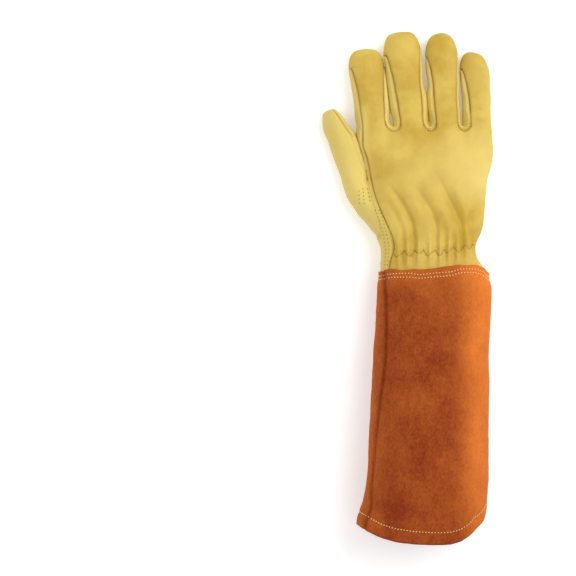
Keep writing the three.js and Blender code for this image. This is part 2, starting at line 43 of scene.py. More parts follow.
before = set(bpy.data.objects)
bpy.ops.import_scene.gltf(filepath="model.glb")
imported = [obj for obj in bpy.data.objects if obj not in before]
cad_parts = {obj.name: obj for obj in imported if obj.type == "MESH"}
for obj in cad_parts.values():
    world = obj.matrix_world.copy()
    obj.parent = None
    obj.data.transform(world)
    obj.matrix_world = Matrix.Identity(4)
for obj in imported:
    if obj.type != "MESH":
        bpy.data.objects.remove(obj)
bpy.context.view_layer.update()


def table(names, *rows):
    """Named columns of a section table as arrays."""
    return dict(zip(names.split(), np.array(rows, float).T))


# Millimetres in a metre: the tables are in millimetres, Blender's objects in metres.
MM = 1000.0
# Where the design frame's origin, the middle of the wrist line on the floor, lies in the row's frame.
ORIGIN = np.array([18.4565, 18.7305, 0.0052])

# Leather and seams, in millimetres
LEATHER_WALL = 1.2
SUEDE_WALL = 1.6
SEAM_GAP = 0.3
# The gap's share at the seams, and where the thumb's root runs on without a seam.
OPEN_SEAM, HIDDEN_SEAM = 0.5, 0.1
SLEEVE_CLEARANCE = 1.0

# Hand
PALM_LENGTH = 127.0
PALM_WIDTH = 119.0
PALM_DEPTH = 42.0
PALM_SQUARENESS = 2.3
PALM_FLAT = 1.2
SLEEVE_LENGTH = 15.0

# Fingers
FINGER_LENGTH = 80.0
FINGER_WIDTH = 31.5
FINGER_DEPTH = 22.5
FINGER_BASE_HEIGHT = 15.5
FINGER_ARCH = 2.0
FINGERTIP_FLAT = 1.2
FINGER_DOME_START = 0.8
FORK_DEPTH = 6.5
TIP_WIDTH = 0.5

# Thumb
THUMB_WIDTH = 28.0
THUMB_DEPTH = 21.0
THUMB_ROLL = 48.0
THUMB_ROOT_BLEND = 0.34

# Cuff
CUFF_LENGTH = 221.0
CUFF_WIDTH = 114.0
CUFF_DEPTH = 84.0
CUFF_SQUARENESS = 2.2
CUFF_TOP_SLANT = 3.9
CUFF_LITTLE_SEAM = -32.0
CUFF_FLAT = 1.5
HEM_SLANT = 4.0
HEM_BOW = 24.0
HEM_LEAN = 0.7
HEM_TURN = 12.0
# How far the cuff's two panels overlap at their side seams.
LAP_WIDTH = 1.2
# The upper half of the cuff counts as this far from the hem.
FAR_FROM_HEM = 1000.0

# Stitches: the rows' distances from the cuff's top edge, its hem and the thumb's root, and the steps along them.
BAND_STITCHES = (3.2, 6.2)
HEM_STITCHES = 9.6
THUMB_BASE_ROWS = (1.8, 4.4)
FORK_ROW_OFFSET = (0.0, 1.2, 0.5)
HAND_STITCH_PITCH = 3.2
FORK_STITCH_PITCH = 2.2
ELASTIC_STEP = 0.45
# Sizes of the threads as shares of the sewing thread's radius, how far a stitch reaches to the next hole, and how
# high the stitches of the hand and the cuff stand.
ELASTIC_SIZE = 0.62
CUFF_THREAD_SIZE = 1.5
STITCH_REACH = 0.5
HAND_STITCH_LIFT, CUFF_STITCH_LIFT = 0.3, 0.4
STITCH_STATIONS = 5
THREAD_SIDES = 6

# Half widths of the seams' dark lines, which are painted shade of the seams' crevices, and of the stretch beside the
# crotch that has no relief.
LEATHER_LINE, SUEDE_LINE = 0.7, 1.6
CALM_WIDTH = 2.2

# Swells of the relief, each a height and a half width: the lip beside a seam of the hand, and the grooves under
# the stitches of the hand's underside, of the cuff's top, of its hem, and of all the cuff where it lies flat.
SEAM_LIP = (0.35, 2.4)
HAND_GROOVE = (-0.8, 1.1)
BAND_GROOVE, HEM_GROOVE, LAID_GROOVE = (-0.45, 1.1), (-0.6, 1.4), (-0.9, 1.3)
# The cuff's hem: how far from it it swells and rolls up, then the swell.
HEM_SWELL = (4.0, (0.5, 4.0))
HEM_ROLL = (9.0, (1.9, 7.0))
# The lapped side seams: how far the back rises and the palm side drops, what the hem adds and the half width; then
# the groove beside them, its depth on the back and on the palm side, its distance and its half width.
LAP_RISE, LAP_DROP, HEM_LAP, LAP_REACH = 0.8, 1.0, 0.6, 2.6
SIDE_GROOVE = {"back": 0.2, "palm": 2.2, "from": 2.2, "width": 1.6}

# Every coarse cell of the net is split into FINE by FINE cells.
FINE = 5
STRIP_CELLS = 5 * FINE
FORK_CELLS = 4 * FINE
SIDE_CELLS = 12
CUFF_CELLS = 272
CUFF_ROW_CELLS = 160

HAND_SECTIONS = table(
    "at left right height thumb_seam little_seam",
    (-0.12, -0.37, 0.4, 1.0, 147, -14),
    (0.0, -0.362, 0.385, 1.0, 145, -14),
    (0.09, -0.36, 0.35, 0.97, 137, -15),
    (0.16, -0.366, 0.351, 1.0, 133, -15),
    (0.26, -0.407, 0.392, 1.04, 132, -16),
    (0.36, -0.432, 0.408, 1.03, 138, -16),
    (0.46, -0.447, 0.42, 1.0, 151, -17),
    (0.6, -0.458, 0.436, 0.93, 162, -18),
    (0.74, -0.466, 0.468, 0.85, 161, -19),
    (0.82, -0.514, 0.481, 0.8, 160, -20),
    (0.9, -0.538, 0.474, 0.74, 159, -20),
    (1.0, -0.54, 0.461, 0.66, 158, -20),
)
HAND_ROWS = np.array(
    [-SLEEVE_LENGTH / PALM_LENGTH, -0.05, 0.03, 0.1, 0.17, 0.26, 0.35, 0.445, 0.54, 0.63, 0.72, 0.8, 0.87, 0.925, 1]
)
THUMB_OPENING = {"first_row": 4, "last_row": 10, "first_column": 1, "peak": 2, "spread": 3, "roundness": 1.8}
FRONT_SEAM_ROW = 13

# Each finger: its base and tip across the palm, its shares of the length, width and depth, its seam angles, how
# long its left back seam stays up on its back (1 is a plain oval), and how far its tip's left, middle and right
# reach past the plain round tip.
FINGERS = [
    dict(zip(("name", "base", "tip", "length", "width", "depth", "seams", "fullness", "reach"), row))
    for row in (
        ("index", -0.41, -0.473, 0.81, 0.965, 0.97, (48, 45, -48, 45), 0.36, (-2.0, 1.0, -2.0)),
        ("middle", -0.135, -0.213, 1.0, 1.0, 1.0, (54, 44, 40, 44), 0.6, (-0.6, 0.6, -1.4)),
        ("ring", 0.122, 0.091, 0.98, 0.87, 0.96, (53, 34, 40, 44), 0.7, (-4.6, 1.8, -4.4)),
        ("little", 0.357, 0.334, 0.775, 0.79, 0.87, (62, -20, 40, 20), 0.56, (-1.0, 0.8, -6.5)),
    )
]
FINGER_ROWS = table(
    "at width", (0.0, 1.0), (0.13, 1.0), (0.27, 1.0), (0.41, 1.01), (0.55, 1.03), (0.68, 1.045), (0.8, 1.045)
)
DOME_TURNS = np.array([0.0, 24.0, 48.0, 70.0, 90.0])
# Where along Y two neighbouring fingers' walls start to lean together, touch, part again and stand free.
TOUCHING_WALLS = ((131, 138, 168, 178), (118, 125, 149, 162))
# How far leaning walls overlap, how far they lean at most, and the half width of what leans with them.
LEAN_OVERLAP, LEAN_LIMIT, LEAN_WIDTH = 0.25, 2.4, 4.0

THUMB_SECTIONS = table(
    "at x y z turn tilt width depth",
    (0.0, -0.35, 0.453, 0.33, 93, 54, 2.4, 2.2),
    (0.1, -0.43, 0.507, 0.34, 88, 43, 1.76, 1.75),
    (0.2, -0.5, 0.552, 0.34, 77, 26, 1.38, 1.35),
    (0.29, -0.548, 0.612, 0.34, 60, 10, 1.15, 1.14),
    (0.4, -0.571, 0.697, 0.32, 40, 0, 0.965, 1.02),
    (0.54, -0.612, 0.794, 0.3, 27, 0, 0.946, 1.0),
    (0.7, -0.655, 0.902, 0.3, 24, 0, 0.93, 0.97),
    (0.87, -0.71, 1.008, 0.27, 22, 0, 0.8, 0.84),
    (1.0, -0.744, 1.094, 0.22, 20, 0, 0.7, 0.7),
)
THUMB_ROWS = np.array([0, 0.05, 0.1, 0.16, 0.23, 0.31, 0.4, 0.52, 0.66, 0.8])
THUMB_SEAM_COLUMNS = {"finger": 2, "wrist": 6}

CUFF_SECTIONS = table(
    "at left right height thumb_seam",
    (0.0, -0.394, 0.463, 0.6, 150),
    (0.1, -0.402, 0.479, 0.66, 145),
    (0.33, -0.432, 0.471, 0.77, 140),
    (0.57, -0.455, 0.463, 0.87, 148),
    (0.81, -0.479, 0.463, 0.95, 154),
    (0.93, -0.518, 0.455, 0.98, 148),
    (1.0, -0.563, 0.44, 1.0, 147),
)

# How far the cuff's top edge and hem rise or drop from their plain curves, at places across the cuff.
TOP_EDGE = table(
    "x rise",
    (-45, -0.6), (-30, 0.6), (-16, 0), (-9, -2), (4, -1.6), (20, -1.4),
    (27, 0.6), (36, 0), (42, -1), (48, -4), (52, -9),
)
HEM_EDGE = table(
    "x rise",
    (-62, 0.4), (-51, 2.4), (-37, 4.2), (-20, 4.4), (-4, 2.8), (8, 1),
    (18, -0.8), (27, -0.8), (34, 1), (41, 4.6), (49, 6.4),
)

# Folds of the hand's back in the design frame, as a depth, a half width and the fold's line. A negative depth
# is a ridge.
BACK_FOLDS = [
    (3.2, 2.9, ((-34, 70), (-23, 55), (-16, 40), (-14, 24), (-14, 10))),
    (1.9, 2.6, ((-10, 67), (2, 50), (6, 35), (6, 14))),
    (2.3, 3.0, ((7, 80), (19, 57), (28, 38), (30, 18))),
    (2.3, 2.4, ((40, 52), (34, 38), (36, 20))),
    (-1.8, 4.6, ((-24, 74), (-9, 52), (-4, 34), (-4, 18))),
    (-2.4, 5.0, ((-3, 72), (11, 50), (17, 34), (18, 18))),
    (-2.2, 4.0, ((22, 72), (31, 50), (33, 36), (33, 22))),
    (1.9, 2.4, ((37, 133), (44, 138), (52, 138))),
    (1.5, 1.9, ((34, 126), (43, 129), (51, 126))),
    (1.2, 3.0, ((-37, 60), (-30, 46), (-24, 34), (-23, 20))),
    (0.9, 6.0, ((-30, 104), (-4, 98), (30, 108))),
    (0.8, 2.2, ((-20, 118), (-8, 112), (2, 104))),
]
# Folds of the palm, seen from below, in the same columns.
PALM_FOLDS = [
    (2.2, 2.2, ((-28, 112), (-16, 104), (-6, 94), (-2, 84))),
    (2.0, 2.2, ((42, 106), (41, 86), (20, 84))),
    (2.0, 2.0, ((26, 68), (36, 62), (37, 40))),
    (1.8, 2.4, ((6, 88), (12, 70), (14, 48), (12, 26))),
    (1.4, 3.0, ((-12, 30), (-10, 14), (-10, 2))),
    (1.4, 3.0, ((2, 34), (4, 16), (4, 2))),
    (1.4, 3.0, ((18, 32), (18, 16), (18, 2))),
]
# Soft folds of the cuff's back, in the same columns.
CUFF_FOLDS = [
    (1.0, 3.4, ((43, -106), (46, -150), (46, -188))),
    (1.0, 7.0, ((-34, -36), (-10, -32), (20, -28))),
    (1.2, 9.0, ((-30, -94), (-4, -100), (24, -92))),
    (0.8, 9.0, ((-20, -150), (10, -140), (30, -146))),
    (1.8, 2.6, ((38, -226), (43, -216), (49, -204))),
    (1.2, 3.0, ((44, -8), (49, -18), (51, -34))),
]
# Ripples of the skin and of its tones: each a size, a wavelength in millimetres and a seed.
SEAM_RIPPLES = ((0.35, 9, 3),)
HAND_RIPPLES = ((0.4, 34, 5), (0.2, 11, 6))
HAND_TONE_RIPPLES = ((0.12, 60, 11),)
CUFF_RIPPLES = ((1.1, 110, 21), (0.5, 42, 22), (0.16, 12, 23))
EDGE_RIPPLES = ((0.7, 26, 24),)
CUFF_TONE_RIPPLES = ((0.07, 80, 31), (0.05, 24, 32))

# Where the thumb parts from the hand, in plan.
THUMB_CROTCH = np.array([-57.0, 84.0])
CROTCH_LINE = np.array([(-65.0, 115.0), (-61.3, 103.0), (-58.6, 95.0), (-56.6, 90.0), (-55.5, 83.0), (-55.0, 76.0)])
CROTCH_HEIGHT = 20.0
# How strongly the thumb's and the palm's walls are drawn together, and the half width of what is drawn.
CROTCH_PULL = {"thumb": 0.9, "palm": 0.8, "width": 5.0}
# How far past the crotch's line the thumb's wall stays, and what is added further out.
THUMB_SIDE = (0.5, 0.8)
# The thumb's own seam starts this far from the crotch.
CLEAR_OF_CROTCH = 16.0
# Rounds of smoothing: the thumb's root, the crotch, the crotch once closed, the forks, and beside the crotch's line.
ROOT_ROUNDS, CROTCH_ROUNDS, CLOSED_ROUNDS, FORK_ROUNDS, LINE_ROUNDS = 90, 260, 40, 70, 10
# Where the thumb's seam runs on over its back to the crotch, as a shallower line.
THUMB_CREASE = ((-68.6, 117.5), (-66.8, 112.0), (-64.2, 104.0), (-61.6, 97.5), (-59.0, 91.0))
CREASE_OFFSET = 0.3

# Where the elastic is sewn across the back of the wrist: its ends and its scallops, how high its gathers stand and
# how far they reach above and below it, smaller gathers in between, and the half width of the seam's groove.
SHIRRING = {
    "left": (-31.0, 11.0), "right": (39.5, 17.5), "scallops": 8, "drop": 4.6,
    "gather": 1.4, "reach": 16.0, "reach_below": 12.0, "small_gather": 0.45, "small_reach": 9.0, "groove": 1.5,
}
# Rows of stitches on the back of the hand, in plan.
HAND_STITCH_LINES = [
    ((-47.6, 52), (-44.4, 44), (-42.0, 35), (-39.6, 26), (-38.2, 16), (-38.4, 8), (-39.0, 1)),
    ((-44.4, 52), (-41.4, 45), (-38.7, 35), (-36.4, 26), (-35.0, 17), (-35.4, 9), (-36.8, 1)),
    ((-61.6, 69), (-61.2, 55)),
    ((-58.2, 71), (-56.6, 55)),
    ((-54.2, 71), (-51.6, 57)),
]
# Tones of the leather from 0, deep yellow, to 1, pale: the wrist and the middle of the back, what its two sides
# add, the palm, the side walls, the thumb, what its tip adds, and what faces down. The two sides are painted light:
# paler on the little side, lit from the right, and deeper on the index side, in shade. The palm, the side walls and
# the thumb are paler partly as painted light against the shade they lie in.
LEATHER_TONES = {
    "wrist": 0.1, "middle": 0.16, "lit_little_side": 0.32, "shaded_index_side": -0.14,
    "palm": 0.5, "walls": 0.6, "thumb": 0.55, "thumb_tip": 0.1, "below": 0.5,
}
FINGER_TONES = table("x tone", (-45, -0.06), (-20, 0.05), (14, -0.1), (38, 0.08))
# Tones of the suede from 0, dark, to 1, light: its middle, and what clouds, sides, top and bottom add. The sides'
# lighter tone is painted light: the little side as lit from the right, the thumb side against its shade.
SUEDE_TONES = {"middle": 0.17, "clouds": 0.27, "lit_little_side": 0.52, "thumb_side": 0.22, "top": 0.3, "bottom": -0.05}
# Darker and lighter oval clouds on the cuff's back: how dark or light, then their middle and half sizes.
TONE_CLOUDS = table(
    "shade x y wide long",
    (-0.5, -30, -24, 12, 9),
    (-0.5, 6, -84, 18, 13),
    (-0.4, -12, -98, 26, 10),
    (-0.15, 8, -56, 22, 7),
    (-0.34, 46, -30, 9, 16),
    (0.1, -14, -150, 18, 12),
    (-0.2, 16, -196, 24, 14),
    (-0.26, -30, -216, 20, 12),
    (0.4, 38, -70, 14, 26),
    (0.34, 40, -150, 12, 34),
    (0.22, -14, -46, 20, 10),
    (0.2, -22, -120, 16, 14),
    (0.2, 34, -206, 14, 18),
)
SHEEN_TINT = (226, 120, 60)

# Each light's name, place in metres, power in watts and width in metres.
LIGHTS = [
    ("key_light", (1.5, 0.8, 2.0), 48, 2.2),
    ("fill_light", (-1.8, 0.2, 2.2), 12, 2.0),
]
FLOOR_HALF = 9
FLOOR_GLOW = 0.25
ROOM_LIGHT = 0.72
# The camera looks straight down; the picture spans PHOTO_SPAN metres at the height of the glove's sides.
CAMERA_HEIGHT = 8.0
MIDDLE_HEIGHT = 0.03
PHOTO_SPAN = 0.507
PHOTO_CENTRE = (-0.1056, 0.0007)
SENSOR_WIDTH = 36.0
CAMERA_REACH = 50


def smoothstep(x, low, high):
    """Eased share of the way from low to high."""
    t = np.clip((x - low) / (high - low), 0, 1)
    return t * t * (3 - 2 * t)


def fade_out(x, low, high):
    """What smoothstep leaves of 1: it eases from 1 at low down to 0 at high."""
    return 1 - smoothstep(x, low, high)


def bell(distance, width):
    """Bell of a distance: e to the power of minus the square of the distance over the width."""
    return np.exp(-((distance / width) ** 2))


def swell(distance, height, width):
    """A bell of a distance times a height."""
    return height * bell(distance, width)


def unit(vectors):
    """Vectors divided by their lengths."""
    return vectors / np.maximum(np.linalg.norm(vectors, axis=-1), 1e-9)[..., None]


def lerp(a, b, t):
    """Straight blend from a to b."""
    return a + (b - a) * t


def read_table(rows, place, column):
    """Value of one column at a place, eased between rows by a cubic with the rows' own slopes."""
    keys, values = rows["at"], rows[column]
    place = np.asarray(place, float)
    last = len(keys) - 1
    i = np.clip(np.searchsorted(keys, place, side="right") - 1, 0, last - 1)
    span = keys[i + 1] - keys[i]
    t = np.clip((place - keys[i]) / span, 0, 1)

    def slope(j):
        before, after = np.maximum(j - 1, 0), np.minimum(j + 1, last)
        return (values[after] - values[before]) / (keys[after] - keys[before]) * span

    rise = values[i + 1] - values[i]
    bend = (slope(i) - rise) * (1 - t) - (slope(i + 1) - rise) * t
    return values[i] + rise * t + bend * t * (1 - t)


def rounded_unit(angle, squareness):
    """Point of a superellipse at an angle in degrees: the cosine and sine, each to the power 2 / squareness."""
    c, s = np.cos(np.radians(angle)), np.sin(np.radians(angle))
    power = 2 / squareness
    return np.sign(c) * np.abs(c) ** power, np.sign(s) * np.abs(s) ** power


def refine(stations, parts):
    """Stations with parts - 1 even steps put in between each two."""
    steps = np.arange(len(stations) * parts - parts + 1) / parts
    return np.interp(steps, np.arange(len(stations)), stations)


def edge_shift(points, at):
    """Uneven rise of the cuff's two edges along Y: each table's value at x, fading out away from its edge."""
    from_top, from_hem = at * CUFF_LENGTH, (1 - at) * CUFF_LENGTH
    top = np.interp(points[..., 0], TOP_EDGE["x"], TOP_EDGE["rise"]) * fade_out(from_top, 4, 26)
    hem = np.interp(points[..., 0], HEM_EDGE["x"], HEM_EDGE["rise"]) * fade_out(from_hem, 6, 60)
    return top + hem


def cuff_y(at, angle):
    """Distance along Y on the cuff: its top edge slants, and its hem bows out by a power of the angle's sine."""
    side = np.cos(np.radians(angle))
    bow = HEM_BOW * np.abs(np.sin(np.radians(angle))) ** (2 * HEM_LEAN - HEM_LEAN * side)
    return lerp(CUFF_TOP_SLANT * side, HEM_SLANT * side - CUFF_LENGTH - bow, at)


def cuff_point(at, angle, inset=0.0):
    """Point of the cuff: a superellipse between the tables' left, right and height, flattened where it lies."""
    left = read_table(CUFF_SECTIONS, at, "left") * CUFF_WIDTH + inset
    right = read_table(CUFF_SECTIONS, at, "right") * CUFF_WIDTH - inset
    height = read_table(CUFF_SECTIONS, at, "height") * CUFF_DEPTH
    u, v = rounded_unit(angle, CUFF_SQUARENESS)
    z = height / 2 - CUFF_FLAT + (height / 2 - inset) * v
    return np.stack([(left + right) / 2 + (right - left) / 2 * u, cuff_y(at, angle), np.maximum(z, inset)], -1)


def hand_point(y, angle):
    """Point of the hand's section at a height y over the wrist line; inside the cuff it follows the cuff's wall."""
    at = y / PALM_LENGTH
    left = read_table(HAND_SECTIONS, at, "left") * PALM_WIDTH
    right = read_table(HAND_SECTIONS, at, "right") * PALM_WIDTH
    height = read_table(HAND_SECTIONS, at, "height") * PALM_DEPTH
    room = SUEDE_WALL + SLEEVE_CLEARANCE
    u, v = rounded_unit(angle, PALM_SQUARENESS)
    z = room * fade_out(at, 0.05, 0.2) - PALM_FLAT + height / 2 + height / 2 * v
    skin = np.stack([(left + right) / 2 + (right - left) / 2 * u, y, z], -1)
    top, hem = cuff_y(0, angle), cuff_y(1, angle)
    sleeve = cuff_point(np.clip((top - y) / (top - hem), 0, 1), angle, room)
    sleeve[..., 1] = y
    return lerp(skin, sleeve, fade_out(at, -0.07, 0.06)[..., None])


def finger_section(finger, along):
    """A finger's axis, direction across, half width and half depth; its tip closes as a quarter ellipse."""
    length = finger["length"] * FINGER_LENGTH
    lean = np.arctan2((finger["base"] - finger["tip"]) * PALM_WIDTH, length)
    dome = np.clip((along - FINGER_DOME_START) / (1 - FINGER_DOME_START), 0, 1)
    shoulder = np.sqrt(np.maximum(1 - dome * dome, 0))
    width = read_table(FINGER_ROWS, along, "width") * lerp(TIP_WIDTH, 1, shoulder)
    tip_height = finger["depth"] * FINGER_DEPTH / 2 - FINGERTIP_FLAT
    height = lerp(FINGER_BASE_HEIGHT, tip_height, np.clip(along / FINGER_DOME_START, 0, 1))
    x = lerp(finger["base"], finger["tip"], along) * PALM_WIDTH
    z = height + FINGER_ARCH * np.sin(np.pi * np.clip(along, 0, 1))
    centre = np.stack([x, PALM_LENGTH + along * length, z], -1)
    across = np.array([np.cos(lean), np.sin(lean), 0.0])
    return centre, across, finger["width"] * FINGER_WIDTH * width / 2, finger["depth"] * FINGER_DEPTH * shoulder / 2


def finger_point(finger, along, angle):
    """Point of a finger's skin at a share of its length and an angle round it."""
    along, angle = np.broadcast_arrays(np.asarray(along, float), np.asarray(angle, float))
    centre, across, half_width, half_depth = finger_section(finger, along)
    point = centre + across * (half_width * np.cos(np.radians(angle)))[..., None]
    point[..., 2] = np.maximum(point[..., 2] + half_depth * np.sin(np.radians(angle)), 0)
    return point


def finger_seams(finger, along):
    """The finger's four seam angles, which close on its two sides where the dome begins."""
    open_share = np.sqrt(np.maximum(1 - (np.maximum(along, 0) / FINGER_DOME_START) ** 2, 0))
    _, back_right, front_left, front_right = (turn * open_share for turn in finger["seams"])
    back_left = finger["seams"][0] * open_share ** finger["fullness"]
    front_left = -back_left if finger["name"] == "index" else front_left
    return {
        "back_right": back_right,
        "back_left": 180 - back_left,
        "front_left": 180 + front_left,
        "front_right": 360 - front_right,
    }


def tip_stations(straight, dome_start):
    """Fine stations of a tube: its straight rows, then even turns round its dome."""
    turns = np.sin(np.radians(refine(DOME_TURNS, FINE)))
    return np.concatenate([refine(straight, FINE), lerp(dome_start, 1, turns)[1:]])


FINGER_STATIONS = tip_stations(FINGER_ROWS["at"], FINGER_DOME_START)
APEX_ROW = (len(FINGER_ROWS["at"]) - 1) * FINE


def fork_turn(start, end, share, dip):
    """Half turn from one point to another round the bottom of a fork, dipping towards the wrist."""
    middle = (start + end) / 2
    turn = np.pi * np.asarray(share, float)[..., None]
    point = middle + (start - middle) * np.cos(turn)
    point[..., 1] -= dip * np.sin(turn[..., 0])
    return point


def fork_lines(left, right, share):
    """The upper, middle and lower lines of the side wall in a fork."""
    l, r = finger_seams(left, 0.0), finger_seams(right, 0.0)

    def at(finger, angle):
        return finger_point(finger, 0.0, angle)

    gap = at(right, 180)[0] - at(left, 0)[0]
    return {
        "upper": fork_turn(at(left, l["back_right"]), at(right, r["back_left"]), share, FORK_DEPTH),
        "middle": fork_turn(at(left, 0), at(right, 180), share, gap / 2),
        "lower": fork_turn(at(left, l["front_right"]), at(right, r["front_left"]), share, FORK_DEPTH),
    }


class Net:
    """Sheets of quads that share their points where they meet, each quad with the number of its panel."""

    def __init__(self, labels):
        self.names = labels
        self.sheets = []

    def sheet(self, points, labels):
        """Adds a sheet; its outer side is where row direction x column direction points."""
        self.sheets.append((points, np.broadcast_to(labels, (points.shape[0] - 1, points.shape[1] - 1))))

    def weld(self):
        """Merges the points that lie within five thousandths of a millimetre and drops the empty quads."""
        flat = np.concatenate([points.reshape(-1, 3) for points, _ in self.sheets])
        keys = np.round(flat * 200 + 0.37).astype(np.int64)
        _, first, ids = np.unique(keys, axis=0, return_index=True, return_inverse=True)
        self.first, ids = first, ids.reshape(-1)
        faces, labels, start = [], [], 0
        for points, label in self.sheets:
            grid = ids[start : start + points.shape[0] * points.shape[1]].reshape(points.shape[:2])
            start += grid.size
            quads = np.stack([grid[:-1, :-1], grid[1:, :-1], grid[1:, 1:], grid[:-1, 1:]], -1)
            faces.append(quads[label >= 0])
            labels.append(label[label >= 0])
        self.points, self.faces, self.labels = flat[first], np.concatenate(faces), np.concatenate(labels)
        solid = (self.faces != np.roll(self.faces, -1, 1)).sum(1) > 2
        self.faces, self.labels = self.faces[solid], self.labels[solid]
        self.first_points = self.points
        self.normals = self.outward(self.points)
        self.gap = np.ones(len(self.points))

    def outward(self, points):
        """Outward direction at every point: the sum of its faces' area vectors, made a unit."""
        a, b, c, d = (points[self.faces[:, k]] for k in range(4))
        area = np.cross(c - a, d - b)
        sums = np.zeros_like(points)
        for k in range(4):
            np.add.at(sums, self.faces[:, k], area)
        return unit(sums)

    def smooth(self, weight, rounds):
        """Draws points towards the middle of their neighbours by a weight, a number of times."""
        start, end, _ = self.edges()
        size = len(self.points)
        count = np.maximum(np.bincount(start, minlength=size), 1)
        for _ in range(rounds):
            middle = [np.bincount(start, self.points[end, k], size) / count for k in range(3)]
            self.points = self.points + (np.stack(middle, 1) - self.points) * weight[:, None]
        self.normals = self.outward(self.points)

    def nearest(self, places):
        """The number of the net's point nearest to each place, by its place before any smoothing."""
        squares = (self.first_points**2).sum(1)
        return (squares - 2 * places @ self.first_points.T).argmin(1)

    def edges(self):
        """Every directed edge of every quad, with the quad's label."""
        start, end = self.faces.ravel(), np.roll(self.faces, -1, 1).ravel()
        real = start != end
        return start[real], end[real], np.repeat(self.labels, 4)[real]

    def seam_points(self):
        """The points on edges where two panels meet."""
        start, end, label = self.edges()
        key, back = start * len(self.points) + end, end * len(self.points) + start
        order = np.argsort(key)
        place = np.clip(np.searchsorted(key[order], back), 0, len(key) - 1)
        other = order[place]
        seam = (key[other] == back) & (label[other] != label)
        return np.unique(start[seam])


def nearest_distance(points, samples):
    """Distance of every point from the nearest sample, in blocks of whole arrays."""
    squares = (samples**2).sum(1)
    blocks = [
        np.sqrt(np.maximum(((block**2).sum(1)[:, None] + squares - 2 * block @ samples.T).min(1), 0))
        for block in np.array_split(points, max(len(points) // 2000, 1))
    ]
    return np.concatenate(blocks)


def line_distance(points, line):
    """Distance in plan from a polyline, and the share of the way along it of the nearest place."""
    line = np.array(line, float)
    start, step = line[:-1], line[1:] - line[:-1]
    length = np.maximum(np.linalg.norm(step, axis=1), 1e-9)
    arm = points[:, None, :2] - start
    t = np.clip((arm * step).sum(-1) / length**2, 0, 1)
    gap = np.linalg.norm(arm - t[..., None] * step, axis=-1)
    nearest = gap.argmin(1)
    rows = np.arange(len(points))
    before = np.concatenate([[0], np.cumsum(length)[:-1]])
    return gap[rows, nearest], (before[nearest] + t[rows, nearest] * length[nearest]) / length.sum()


def ripple(points, wavelength, seed):
    """Soft bumps from -1 to 1: the mean of eight sine waves with drawn directions and phases."""
    draw = np.random.default_rng(seed)
    waves = draw.normal(size=(8, 3))
    waves *= (2 * np.pi / wavelength * draw.uniform(0.7, 1.3, 8) / np.linalg.norm(waves, axis=1))[:, None]
    return np.sin(points @ waves.T + draw.uniform(0, 2 * np.pi, 8)).mean(1) * 2


def ripples(points, rows):
    """Sum of ripples, each times its size."""
    return sum(size * ripple(points, wavelength, seed) for size, wavelength, seed in rows)


def fold_relief(points, folds):
    """Sum of folds: each is its depth times a bell of the distance from its line, fading out at its two ends."""
    relief = np.zeros(len(points))
    for depth, width, line in folds:
        gap, along = line_distance(points, line)
        ends = np.sin(np.pi * np.clip(0.08 + 0.9 * along, 0, 1)) ** 0.7
        relief -= depth * ends * bell(gap, width)
    return relief


@functools.lru_cache
def hand_columns():
    """The columns of the hand's net in order round it, each with its point on the finger base line."""
    rows = {"point": [], "axis": [], "back": [], "place": []}

    def add(points, axes, back, places):
        rows["point"].append(points)
        rows["axis"].append(np.broadcast_to(axes, points.shape))
        rows["back"].append(np.full(len(points), back))
        rows["place"].append(np.broadcast_to(places, len(points)))

    def strip(number, start, end, back):
        finger = FINGERS[number]
        seams = finger_seams(finger, 0.0)
        last = seams[end] + (360 if end == "back_right" else 0)
        angles = lerp(seams[start], last, np.arange(STRIP_CELLS) / STRIP_CELLS)
        add(finger_point(finger, 0.0, angles), finger_section(finger, 0.0)[1], back, number)

    def fork(number, line, back):
        left, right = FINGERS[number], FINGERS[number + 1]
        steps = np.arange(FORK_CELLS) / FORK_CELLS
        share = 1 - steps if back else steps
        axes = lerp(finger_section(left, 0.0)[1], finger_section(right, 0.0)[1], share[:, None])
        add(fork_lines(left, right, share)[line], axes, back, np.where(steps < 0.5, number, number + 1))

    for i in reversed(range(4)):
        strip(i, "back_right", "back_left", True)
        if i:
            fork(i - 1, "upper", True)
    for i in range(4):
        strip(i, "back_left" if i == 0 else "front_left", "back_right" if i == 3 else "front_right", False)
        if i < 3:
            fork(i, "lower", False)
    return {key: np.concatenate(value) for key, value in rows.items()}


BACK_COLUMNS = int(hand_columns()["back"].sum())
HAND_SHARES = refine(HAND_ROWS, FINE)


def column_angle(c, at):
    """Angle of a column round the hand: its own at the fingers, spread between the two side seams lower down."""
    columns = hand_columns()
    left, right = HAND_SECTIONS["left"][-1] * PALM_WIDTH, HAND_SECTIONS["right"][-1] * PALM_WIDTH
    u = np.clip((columns["point"][:, 0] - (left + right) / 2) / ((right - left) / 2), -1, 1)
    turn = np.degrees(np.arccos(np.sign(u) * np.abs(u) ** (PALM_SQUARENESS / 2)))
    low = columns["point"][:, 2] <= FINGER_BASE_HEIGHT
    angle = np.where(low, np.where(columns["back"], -turn, 360 - turn), turn)
    angle = np.append(angle, angle[0] + 360)
    own = np.interp(c, np.arange(len(angle)), angle)
    first, middle = angle[0], angle[BACK_COLUMNS]
    thumb_seam = read_table(HAND_SECTIONS, at, "thumb_seam")
    little_seam = read_table(HAND_SECTIONS, at, "little_seam")
    on_back = lerp(little_seam, thumb_seam, (own - first) / (middle - first))
    on_palm = lerp(thumb_seam, little_seam + 360, (own - middle) / (first + 360 - middle))
    return np.where(own <= middle, on_back, on_palm)


